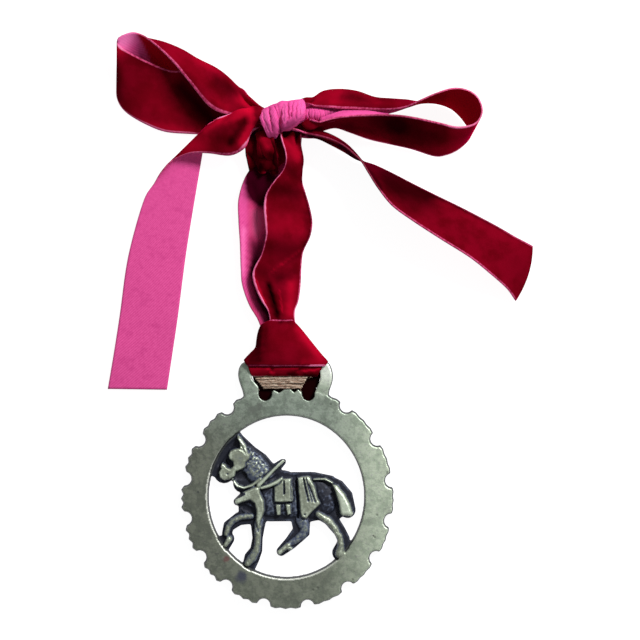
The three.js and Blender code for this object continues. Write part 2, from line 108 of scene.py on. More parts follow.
class Finish:
    # one material with a Principled shader
    def __init__(self, name, **constants):
        self.material = bpy.data.materials.new(name)
        self.material.use_nodes = True
        self.tree = self.material.node_tree
        self.tree.nodes.clear()
        self.shader = self.tree.nodes.new("ShaderNodeBsdfPrincipled")
        output = self.tree.nodes.new("ShaderNodeOutputMaterial")
        self.tree.links.new(self.shader.outputs[0], output.inputs["Surface"])
        self.wire(**constants)

    def feed(self, made, sockets):
        # links a node's sockets or sets their values
        for key, value in sockets.items():
            if isinstance(value, Wire):
                self.tree.links.new(value.socket, made.inputs[key])
            else:
                made.inputs[key].default_value = value

    def wire(self, **sockets):
        self.feed(self.shader, {key.replace("_", " "): value for key, value in sockets.items()})

    def node(self, kind, sockets, out=0, **settings):
        made = self.tree.nodes.new("ShaderNode" + kind)
        for key, value in settings.items():
            setattr(made, key, value)
        self.feed(made, sockets)
        return Wire(self, made.outputs[out])

    def place(self, scale=(1, 1, 1)):
        return self.node("Mapping", {"Vector": self.node("TexCoord", {}, out="Object"), "Scale": scale})

    def axis(self, vector, letter):
        return self.node("SeparateXYZ", {"Vector": vector}, out=letter)

    def painted(self, attribute):
        return self.node("Attribute", {}, out="Fac", attribute_name=attribute)

    def noise(self, vector, scale, detail=3, roughness=0.55):
        sockets = {"Vector": vector, "Scale": scale, "Detail": detail, "Roughness": roughness}
        return self.node("TexNoise", sockets)

    def mix(self, low, high, share):
        # sockets 6 and 7 and output 2 are the node's colour ones
        return self.node("Mix", {0: share, 6: colour(low), 7: colour(high)}, out=2, data_type="RGBA")

    def coats(self, tone, *layers):
        # colours laid one over another, each with the share that it covers
        for layer, share in layers:
            tone = self.mix(tone, layer, share)
        return tone

    def bump(self, height, strength, distance, below=None):
        sockets = {"Height": height, "Strength": strength, "Distance": distance}
        if below is not None:
            sockets["Normal"] = below
        return self.node("Bump", sockets)


def colour(value):
    return value if isinstance(value, Wire) else (*value, 1)


def objectFrom(bm, name, finishes):
    mesh = bpy.data.meshes.new(name)
    bm.to_mesh(mesh)
    bm.free()
    for finish in finishes:
        mesh.materials.append(finish.material)
    return added(name, mesh)


def pieceFrom(bm, name, finishes, node):
    # a smooth object that stands for a node of the CAD
    piece = objectFrom(bm, name, finishes)
    piece.data.shade_smooth()
    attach(piece, "root")
    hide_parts(node)
    return piece


def applied(piece, kind, **settings):
    # puts a modifier on the piece and applies it
    modifier = piece.modifiers.new(kind, kind)
    for key, value in settings.items():
        setattr(modifier, key, value)
    graph = bpy.context.evaluated_depsgraph_get()
    final = bpy.data.meshes.new_from_object(piece.evaluated_get(graph))
    piece.modifiers.clear()
    old = piece.data
    final.name = old.name
    piece.data = final
    bpy.data.meshes.remove(old)
    final.shade_smooth()


def softStep(value, low, high):
    share = np.clip((value - low) / (high - low), 0, 1)
    return share * share * (3 - 2 * share)


# the brass; lengths in millimetres, tones from dark to bright
brass = {
    "voxel": 0.3, "topFrom": 1.25, "ringInner": (28.2, 29.2), "ringBlend": 0.8, "halfSpan": 40,
    "ground": 2.3, "deepest": 1.35, "edgeRound": 0.9, "edgeDrop": 0.6,
    "groove": 0.6, "grooveDepth": 0.5, "strapGroove": 0.3,
    "bumpPitch": 0.9, "fleshBumps": 0.12, "plateBumps": 0.05,
    "mane": [(-9, 9.6, 3.4), (-12.5, 13, 3), (-15, 17, 2.2)], "manePitch": 0.75, "maneDepth": 0.32,
    "gridHalf": 32, "gridCell": 0.25, "hollowBlur": 0.9, "hollowShare": 0.3, "openLevel": 1.6,
    "groundTone": 0.03, "ringTop": 3.25, "ringTone": 0.8, "wallTone": 0.02, "litBand": (-0.8, -0.1),
    "stains": [((-21.5, -22.3, 1.5), (0.2, 0.09, 0.09)), ((-16.2, -28.6, 2.7), (0.05, 0.055, 0.10)),
               ((-31.7, 1.7, 0.6), (0.06, 0.07, 0.07)), ((31.2, -13.9, 0.5), (0.08, 0.09, 0.08)),
               ((-12.4, 31.2, 1.8), (0.16, 0.18, 0.155)), ((-9.6, 32.6, 1.3), (0.16, 0.18, 0.155))],
    "hollow": ((0.004, 0.006, 0.016), (0.085, 0.105, 0.16)), "dull": (0.25, 0.28, 0.215),
    "rubbed": (0.68, 0.77, 0.62), "khaki": ((0.13, 0.145, 0.115), (0.195, 0.213, 0.168)),
    "slate": ((0.17, 0.21, 0.175), (0.275, 0.335, 0.28)), "pale": ((0.44, 0.53, 0.40), (0.62, 0.71, 0.55)),
    "glint": (0.84, 0.90, 0.79), "cloud": (0.11, 0.12, 0.10), "wall": (0.03, 0.033, 0.035),
    "litEdge": (0.85, 0.88, 0.79), "pit": (0.05, 0.05, 0.045),
}

# the horse as chains of circles: x, y, radius
outline = {
    "barrel": [(-6.5, -0.5, 8.5), (2, -0.1, 8.8), (9, -0.1, 8.9)],
    "croup": [(9, 0, 8.8), (14, -0.6, 8.4), (16.2, -2.6, 6.2)],
    "tail": [(14.6, 5.2, 2.6), (18.3, 3.3, 2.8), (21, 0.1, 2.9), (22, -4.9, 2.9)],
    "hindLeg": [(13, -4, 5), (16, -8.3, 2.6), (19.2, -12.6, 2.2), (20.5, -15.3, 2.3), (20.4, -17.5, 2.3)],
    "hindHoof": [(20.2, -18, 2.6), (19.5, -20.2, 3.1)],
    "farHindLeg": [(5, -7, 3.6), (5.3, -12.7, 3.2), (1.4, -16.8, 2.3), (-1.9, -19.7, 1.7)],
    "foreLeg": [(-10.5, -6, 4.2), (-10.2, -10, 2.6), (-10.4, -15, 1.85), (-10.9, -19.5, 2.2)],
    "foreHoof": [(-10.9, -19.5, 2.2), (-12.4, -22, 2.8), (-13.2, -24.5, 2.5)],
    "farForeLeg": [(-12, -6.5, 3.4), (-17.3, -8.2, 2.3), (-20.8, -10.7, 2.1), (-21.4, -13.4, 1.8)],
    "farForeHoof": [(-21, -15.2, 2.3), (-22.2, -18, 1.9)],
    "hoofWeb": [(-22, -15.5, 1.8), (-25, -16.3, 1.6)],
    "chest": [(-10, -2, 6.4), (-13.6, -4.2, 3.7)],
    "breast": [(-12.5, -1.2, 3), (-17.6, -1.9, 1.4)],
    "throat": [(-11.5, 5.4, 4.4), (-15.8, 4.7, 3.4)],
    "neck": [(-8, 5.4, 6.6), (-12.5, 11.4, 6.2), (-15.4, 16, 4.3), (-17.4, 21.5, 1.6)],
    "head": [(-16, 15, 5), (-19, 11.5, 5), (-22.4, 8.4, 3.7)],
    "face": [(-19, 18.5, 3), (-23, 14, 3.5), (-25.3, 9.3, 2.4)],
    "hames": [(-6, 8.3, 2.2), (-1.4, 12.3, 1.2)],
    "withers": [(-5, 4.7, 4.6), (-1, 4.6, 4.8)],
}
# rounded body forms: height of the crest, how far it is rubbed bright, then the chain
flesh = [
    (3.9, 0.34, [(-8.3, 6.2, 4.4), (-12, 11.4, 4.6), (-14.6, 15, 3.2), (-15.8, 18, 1.6)]),
    (3.2, 0.28, [(-6, -1.5, 5.8), (2, -1, 6.4), (8.5, -1, 6.8)]),
    (3.5, 0.05, [(10.5, 0.5, 5.6), (13.2, -1.7, 5)]),
    (3.0, 0.16, [(-12, -2.5, 3.8), (-13.8, -4.2, 2.4)]),
    (4.3, 0.47, [(11.3, -6.2, 1.2), (15, -8.5, 1.6), (17.4, -11.3, 1.4), (19.2, -14.6, 1.3),
        (19.6, -17.2, 1.4)]),
    (4.3, 0.52, [(19.5, -17.6, 1.4), (19.2, -20.4, 1.9)]),
    (3.3, 0.3, [(5.6, -8.6, 2.4), (6.6, -11.4, 2), (5.9, -13.7, 1.7), (3.2, -15.7, 1.3), (0.2, -17.6, 1.2)]),
    (3.9, 0.52, [(0.6, -17.4, 1.1), (-2.6, -20.1, 0.9)]),
    (3.7, 0.5, [(0.4, -18.4, 0.8), (1.7, -18.6, 0.6)]),
    (4.0, 0.42, [(-9.9, -8.4, 1.8), (-10.3, -11.5, 1.4), (-10.3, -15.4, 1.2), (-10.7, -19.3, 1.4),
        (-12.5, -22.3, 1.8), (-13.9, -23.9, 1.4)]),
    (3.8, 0.38, [(-12.6, -7.1, 1.2), (-16.2, -7.2, 1.2), (-19.2, -8.8, 1.2), (-20.9, -10.9, 1.1),
        (-21.6, -13.6, 1)]),
    (4.1, 0.58, [(-20.6, -15.2, 1.2), (-21.9, -17.4, 0.9)]),
]
# firm forms: height, how bright, width of the rounded edge, then an outline
plates = {
    "head": (4.7, 0.54, 0.7, [(-17.6, 22.2), (-16, 20.6), (-14.6, 18.8), (-13.8, 16.6), (-12.9, 15),
        (-13.2, 13.4), (-14.5, 12.2), (-14.6, 10.6), (-16, 9.7), (-18, 9), (-18.6, 7.2), (-20.3, 6.2),
        (-22.3, 5.8), (-24, 6.8), (-24.4, 8.8), (-23.6, 10), (-24, 11.3), (-23.2, 12.2), (-21.9, 11.6),
        (-21.2, 10.6), (-20.1, 10.2), (-19.2, 11), (-19.3, 12.5), (-20.5, 13.4), (-21, 14.7), (-20.4, 16.3),
        (-18.8, 17.2), (-16.9, 17.5), (-16.9, 19.1), (-17.8, 20.9)]),
    "breastCollar": (4.7, 0.62, 1.0, [(-9.4, 4.5), (-12.3, 3.4), (-15.2, 2), (-18.2, -0.4), (-18.7, -2),
        (-17.8, -3), (-15.5, -2.1), (-13.2, -1.4), (-11.7, -2.5), (-11, -5), (-11.2, -8.6), (-10.2, -12.4),
        (-9, -8.6), (-7.7, -5), (-7.9, -1.5), (-9.2, 1.6)]),
    "pad": (4.7, 0.58, 0.6, [(-4.6, 3.4), (-2.4, 5), (-1.2, 6.6), (1.7, 6.6), (2.3, 2.9), (2.4, -1.8),
        (-1, -2.1), (-4.5, -2)]),
    "frontStrap": (4.3, 0.48, 0.5, [(-4.2, -2.6), (-1.9, -2.6), (-2, -6.7), (-3.6, -6.7)]),
    "backStrap": (4.3, 0.5, 0.5, [(-0.6, -2.5), (1.6, -2.5), (1.7, -6.4), (0.3, -6.6)]),
    "cloth": (4.7, 0.58, 0.8, [(3.9, 6.8), (5.3, 7.2), (7.4, 7.5), (8.4, 7.2), (10.3, 4), (11.4, -0.6),
        (12.5, -2.5), (10.4, -4.5), (8.4, -6.5), (7, -8.1), (5.4, -7.5), (4.8, -5.6), (4.5, -1.8),
        (4.1, 2.5)]),
    "tailHair": (4.8, 0.98, 1.1, [(16.3, 4.5), (18.2, 4.1), (20.9, 1.1), (22.9, -2.6), (24, -6.2),
        (23.2, -7.1), (19.8, -6.9), (19.1, -5.8), (18.6, -2.2), (17.4, 1.7)]),
}
# thin rims and straps: height, how bright, then the chain
straps = [
    (5.0, 0.88, [(-0.9, 13, 0.45), (-4.5, 9.7, 0.6), (-8, 6.2, 0.75), (-10, 4.2, 0.9)]),
    (4.7, 0.85, [(-1.8, 6.5, 0.5), (-3.4, 5.2, 0.8), (-6, 4, 0.75), (-9, 3.1, 0.55)]),
    (4.2, 0.66, [(-19.3, 6.2, 0.4), (-17.6, 3.9, 0.5), (-15.4, 3.1, 0.5), (-12.3, 4.1, 0.6),
        (-9.4, 6.4, 0.6)]),
    (5.0, 0.98, [(-17, 20.8, 0.5), (-15.4, 18.6, 0.6), (-14.4, 16, 0.5)]),
    (4.0, 0.42, [(9.7, 6.2, 0.35), (13.9, 6.3, 0.45), (16.4, 4.9, 0.4)]),
    (3.3, 0.3, [(-16.4, 17.6, 0.5), (-13, 16, 0.6), (-8.6, 11, 0.6)]),
]
# cuts between the forms: depth, then the chain
cuts = [
    (1.0, [(-18, 20, 0.9), (-21.3, 17.2, 1.2), (-23.4, 13.8, 1.1), (-24, 11.4, 0.7)]),
    (1.3, [(-21.2, 13, 0.5), (-20.6, 11.9, 0.6)]),
    (0.9, [(-17.6, 7, 0.9), (-15.6, 7.4, 1.5)]),
    (0.8, [(-0.9, 5.6, 0.3), (-0.8, 1.2, 0.4)]),
    (0.4, [(1.6, 5.6, 0.2), (1.7, -1.2, 0.2)]),
    (1.2, [(3.3, 7.4, 0.3), (3.9, -1, 0.35), (4.2, -7.6, 0.3)]),
    (0.9, [(6.1, 6.6, 0.25), (7, 2.4, 0.35), (7.9, -1.6, 0.25)]),
    (0.8, [(8, 4.4, 0.2), (9.1, 1.4, 0.3), (10.3, -1.8, 0.25)]),
    (0.5, [(7, 6.9, 0.2), (8, 2.8, 0.25), (9.2, -1.7, 0.2)]),
    (0.7, [(6.55, -6.4, 0.35), (6.6, -6.4, 0.35)]),
    (0.7, [(-21.2, 8.2, 0.35), (-21.15, 8.2, 0.35)]),
    (0.9, [(16.4, 0.6, 0.7), (17.9, -3.4, 0.9), (18.3, -6.4, 0.6)]),
    (0.7, [(-15, -3.9, 1.3), (-12.9, -5, 1.2)]),
    (0.6, [(-3.4, 7.4, 0.6), (-7, 5.4, 0.6)]),
]


def nearLine(x, y, x1, y1, x2, y2):
    # distance from a short line, and how far along the line its nearest point is
    dx, dy = x2 - x1, y2 - y1
    share = np.clip(((x - x1) * dx + (y - y1) * dy) / max(dx * dx + dy * dy, 1e-6), 0, 1)
    return np.hypot(x - x1 - share * dx, y - y1 - share * dy), share


def chainField(x, y, chain):
    # distance outside the chain of circles, and how deep inside it as a share of its radius
    outside = np.full(x.shape, 1e3)
    inside = np.full(x.shape, -1e3)
    for (x1, y1, r1), (x2, y2, r2) in zip(chain, chain[1:]):
        away, share = nearLine(x, y, x1, y1, x2, y2)
        radius = r1 + share * (r2 - r1)
        outside = np.minimum(outside, away - radius)
        inside = np.maximum(inside, 1 - away / radius)
    return outside, inside


def dome(share):
    share = np.clip(share, 0, 1)
    return np.sqrt(share * (2 - share))


def silhouette(x, y):
    return np.minimum.reduce([chainField(x, y, chain)[0] for chain in outline.values()])


def outlineField(x, y, corners):
    # distance outside a closed outline, negative inside it
    nearest = np.full(x.shape, 1e3)
    inside = np.zeros(x.shape, bool)
    for (x1, y1), (x2, y2) in zip(corners, corners[1:] + corners[:1]):
        nearest = np.minimum(nearest, nearLine(x, y, x1, y1, x2, y2)[0])
        crosses = (y1 > y) != (y2 > y)
        inside ^= crosses & (x < x1 + (y - y1) * (x2 - x1) / ((y2 - y1) or 1))
    return np.where(inside, -nearest, nearest)


def mottled(x, y, pitch):
    # smooth irregular bumps from -1 to 1
    u, v = x / pitch, y / pitch
    return (np.sin(2.1 * u + 1.3 * np.sin(1.7 * v)) * np.sin(1.9 * v + 1.6 * np.sin(1.3 * u + 0.7))
            + 0.6 * np.sin(4.3 * u - 2.7 * v + np.sin(3.1 * v)) * np.sin(3.7 * v + 2.3 * u)) / 1.4


def horseRelief(x, y):
    # height of the horse over the back of the casting, and how far it is rubbed bright
    ground = brass["ground"]
    height = ground - brass["edgeDrop"] * (1 - dome(-silhouette(x, y) / brass["edgeRound"]))
    tone = np.full(x.shape, brass["groundTone"])
    rough = mottled(x, y, brass["bumpPitch"])

    def lay(share, crest, bright):
        nonlocal height, tone
        top = ground + (crest - ground) * share
        above = top > height
        height = np.where(above, top, height)
        tone = np.where(above, bright * (0.3 + 0.7 * share**2), tone)

    def cutRound(outside, depth):
        nonlocal height
        height = height - depth * np.clip(1 - np.abs(outside) / brass["groove"], 0, 1)

    for crest, bright, chain in flesh:
        inside = chainField(x, y, chain)[1]
        lay(dome(inside * 1.1), crest + brass["fleshBumps"] * rough, bright + 0.16 * rough)
    neck = np.clip(chainField(x, y, brass["mane"])[1] * 3, 0, 1)
    locks = mottled(0.8 * x + 0.5 * y, 1.2 * y - 0.4 * x, brass["manePitch"])
    height = height + brass["maneDepth"] * neck * locks
    tone = tone + 0.5 * neck * np.clip(locks, 0, 1)
    for crest, bright, width, corners in plates.values():
        outside = outlineField(x, y, corners)
        cutRound(outside, brass["grooveDepth"])
        lay(dome(0.05 - outside / width), crest + brass["plateBumps"] * rough, bright + 0.08 * rough)
    for crest, bright, chain in straps:
        outside, inside = chainField(x, y, chain)
        cutRound(outside, brass["strapGroove"])
        lay(dome(0.1 + inside * 1.4) * (inside > -0.05), crest, bright)
    for depth, chain in cuts:
        inside = np.clip(chainField(x, y, chain)[1] * 1.5, 0, 1)
        height = height - depth * dome(inside) * (0.4 + 0.6 * (height > ground))
        tone = tone * (1 - 0.9 * np.sqrt(inside))
    return np.maximum(height, brass["deepest"]), tone


def blurred(grid, reach):
    steps = np.arange(-3 * reach, 3 * reach + 1)
    bell = np.exp(-0.5 * (steps / reach) ** 2)
    bell /= bell.sum()
    for axis in (0, 1):
        grid = np.apply_along_axis(lambda line: np.convolve(line, bell, "same"), axis, grid)
    return grid


def carveHorse(mesh):
    points = np.empty(len(mesh.vertices) * 3)
    mesh.vertices.foreach_get("co", points)
    points = points.reshape(-1, 3) / mm
    x, y, z = points.T
    halfWidth, halfHeight = brass["ringInner"]
    fromRing = halfHeight * (1 - np.hypot(x / halfWidth, y / halfHeight))
    onTop = (z > brass["topFrom"]) & (fromRing > -brass["ringBlend"]) & (silhouette(x, y) < -0.2)
    height, tone = horseRelief(x, y)
    z += softStep(fromRing, -brass["ringBlend"], 0) * onTop * (height - z)
    # rubbed bright on the crests, tarnished in the hollows
    half, cell = brass["gridHalf"], brass["gridCell"]
    line = np.arange(-half, half, cell)
    gx, gy = np.meshgrid(line, line, indexing="ij")
    grid = np.where(silhouette(gx, gy) < 0, horseRelief(gx, gy)[0], brass["openLevel"])
    hollow = grid - blurred(grid, round(brass["hollowBlur"] / cell))
    column, row = (np.clip(((place + half) / cell).astype(int), 0, len(line) - 1) for place in (x, y))
    rubbed = np.where(onTop, tone + brass["hollowShare"] * hollow[column, row], brass["groundTone"])
    inRing = fromRing < 0.3
    # the ring's face is rubbed bright; its walls are dark, which is tarnish and painted shade
    ringTone = np.where(z > brass["ringTop"], brass["ringTone"], brass["wallTone"])
    rubbed = np.where(inRing, ringTone, np.clip(rubbed, 0, 1))
    # a painted highlight: a bright line on the window's edge, below and to the left
    outer, inner = brass["litBand"]
    wearAndHighlight = (fromRing < inner) & (fromRing > outer) & (z > brass["ringTop"] - 0.05)
    lit = wearAndHighlight * softStep(-(x + y) / brass["halfSpan"], -0.1, 0.5)
    mesh.vertices.foreach_set("co", (points * mm).ravel())
    for name, values in (("rubbed", rubbed), ("ring", inRing.astype(float)), ("lit", lit)):
        mesh.attributes.new(name, "FLOAT", "POINT").data.foreach_set("value", values)
    mesh.update()


def agedBrass():
    finish = Finish("aged_brass", Specular_IOR_Level=0.5)
    here = finish.place()
    left, up = finish.axis(here, "X"), finish.axis(here, "Y")
    across, upwards = left / (brass["halfSpan"] * mm), up / (brass["halfSpan"] * mm)
    rubbed, ring, lit = (finish.painted(name) for name in ("rubbed", "ring", "lit"))
    clouds = finish.noise(here, 90, 4)
    mottle = finish.noise(here, 420, 5, 0.65)
    grain = finish.noise(here, 1900, 3)
    specks = finish.noise(here, 1100, 3, 0.6)
    bright = (rubbed + 0.5 * (mottle - 0.5) + 0.25 * (clouds - 0.5) + 0.2 * (specks - 0.5)).clamped()
    metal = finish.coats(finish.mix(*brass["hollow"], bright.step(0.06, 0.34)),
                         (brass["dull"], bright.step(0.28, 0.6)), (brass["rubbed"], bright.step(0.58, 1.0)))
    # the ring is painted lighter towards the upper right, where the light falls: khaki at the lower left,
    # slate above, pale painted light at the right and on the hanger's right, and a painted glint on the
    # hanger's top right
    side = 0.12 + 0.13 * across + 0.84 * across.step(0.3, 0.95) + 0.14 * upwards.step(0.75, 1.1)
    side = (side + 1.2 * upwards.step(0.85, 1.15) * across.step(-0.05, 0.35)).clamped()
    khaki = finish.mix(*brass["khaki"], mottle.step(0.4, 0.6))
    slate = finish.mix(*brass["slate"], mottle.step(0.4, 0.6))
    olive = finish.mix(khaki, slate, (upwards + 0.5 * across).step(-0.1, 0.9))
    tone = finish.coats(olive, (finish.mix(*brass["pale"], mottle.step(0.38, 0.62)), side),
                        (brass["glint"], upwards.step(0.95, 1.12) * across.step(0.15, 0.4)),
                        (brass["cloud"], clouds.step(0.56, 0.74) * 0.28))
    tone = finish.mix(tone, tone * 0.72, specks.step(0.5, 0.72) * 0.6)
    for (stainX, stainY, reach), stain in brass["stains"]:
        away = ((left - stainX * mm) ** 2 + (up - stainY * mm) ** 2) ** 0.5
        spot = (away / (reach * mm) + 1.1 * (mottle - 0.5)).step(1.1, 0.4)
        tone = finish.mix(tone, stain, spot * 0.8)
    # where the brass is dull it takes the wall colour: tarnish and painted shade on the walls
    tone = finish.mix(brass["wall"], tone, bright.step(0.12, 0.5))
    # the window's edge takes its painted highlight
    metal = finish.mix(metal, finish.mix(tone, brass["litEdge"], lit * 0.8), ring)
    pits = finish.node("TexVoronoi", {"Vector": here, "Scale": 240})
    pitted = pits.step(0.16, 0.05) * clouds.step(0.45, 0.6)
    metal = finish.mix(metal, brass["pit"], pitted * 0.5)
    grit = finish.bump(mottle + 0.4 * grain + 0.3 * specks, 0.5, 0.15 * mm)
    finish.wire(Base_Color=metal, Metallic=0.3 + 0.45 * bright,
                Roughness=0.62 - 0.2 * bright + 0.12 * (mottle - 0.5),
                Normal=finish.bump(1 - pitted, 0.4, 0.15 * mm, grit))
    return finish


def makeBrass():
    bm = bmesh.new()
    bm.from_mesh(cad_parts["horse_brass"].data)
    bmesh.ops.remove_doubles(bm, verts=bm.verts, dist=0.001 * mm)
    piece = pieceFrom(bm, "horse_brass_casting", [agedBrass()], "horse_brass")
    applied(piece, "REMESH", mode="VOXEL", voxel_size=brass["voxel"] * mm)
    carveHorse(piece.data)
    bm = bmesh.new()
    bm.from_mesh(piece.data)
    bmesh.ops.smooth_vert(bm, verts=bm.verts, factor=0.5, use_axis_x=True, use_axis_y=True, use_axis_z=True)
    bm.to_mesh(piece.data)
    bm.free()
    print("brass carved,", len(piece.data.polygons), "faces")


# the ribbon; lengths in millimetres, selvedge as a share of the width, threads and twill per width
ribbon = {
    "width": 21.5, "length": 740, "thickness": 0.55, "lowest": 0.5, "across": 26, "row": 0.95, "samples": 600,
    "deepestPleat": 1.5, "selvedge": 0.026, "threads": 420, "twill": 115,
    "pile": ((0.11, 0.0005, 0.004), (0.165, 0.0008, 0.008)), "pileBright": (0.44, 0.002, 0.02),
    "pileDark": (0.010, 0.0001, 0.0006), "pileTips": (0.26, 0.003, 0.02), "shaded": (0.008, 0.0008, 0.0012),
    "satin": ((0.46, 0.028, 0.165), (0.80, 0.115, 0.36)), "satinCrease": (0.44, 0.03, 0.17),
    "satinBright": (0.88, 0.2, 0.48), "satinShadedRed": (0.34, 0.0014, 0.011), "satinDark": (0.028, 0.0004, 0.005),
    "thread": ((0.5, 0.04, 0.13), (0.72, 0.12, 0.29)), "threadWorn": (0.24, 0.006, 0.035),
    "threadBright": (0.9, 0.26, 0.48), "threadDark": (0.12, 0.002, 0.015),
}
# numbers of the ribbon's materials: folds show no selvedge, and shaded is painted shade, a near-black velvet
# for the dark inside the slot
pileFace, satinBack, selvedgeRim, foldFace, shadedFace = range(5)

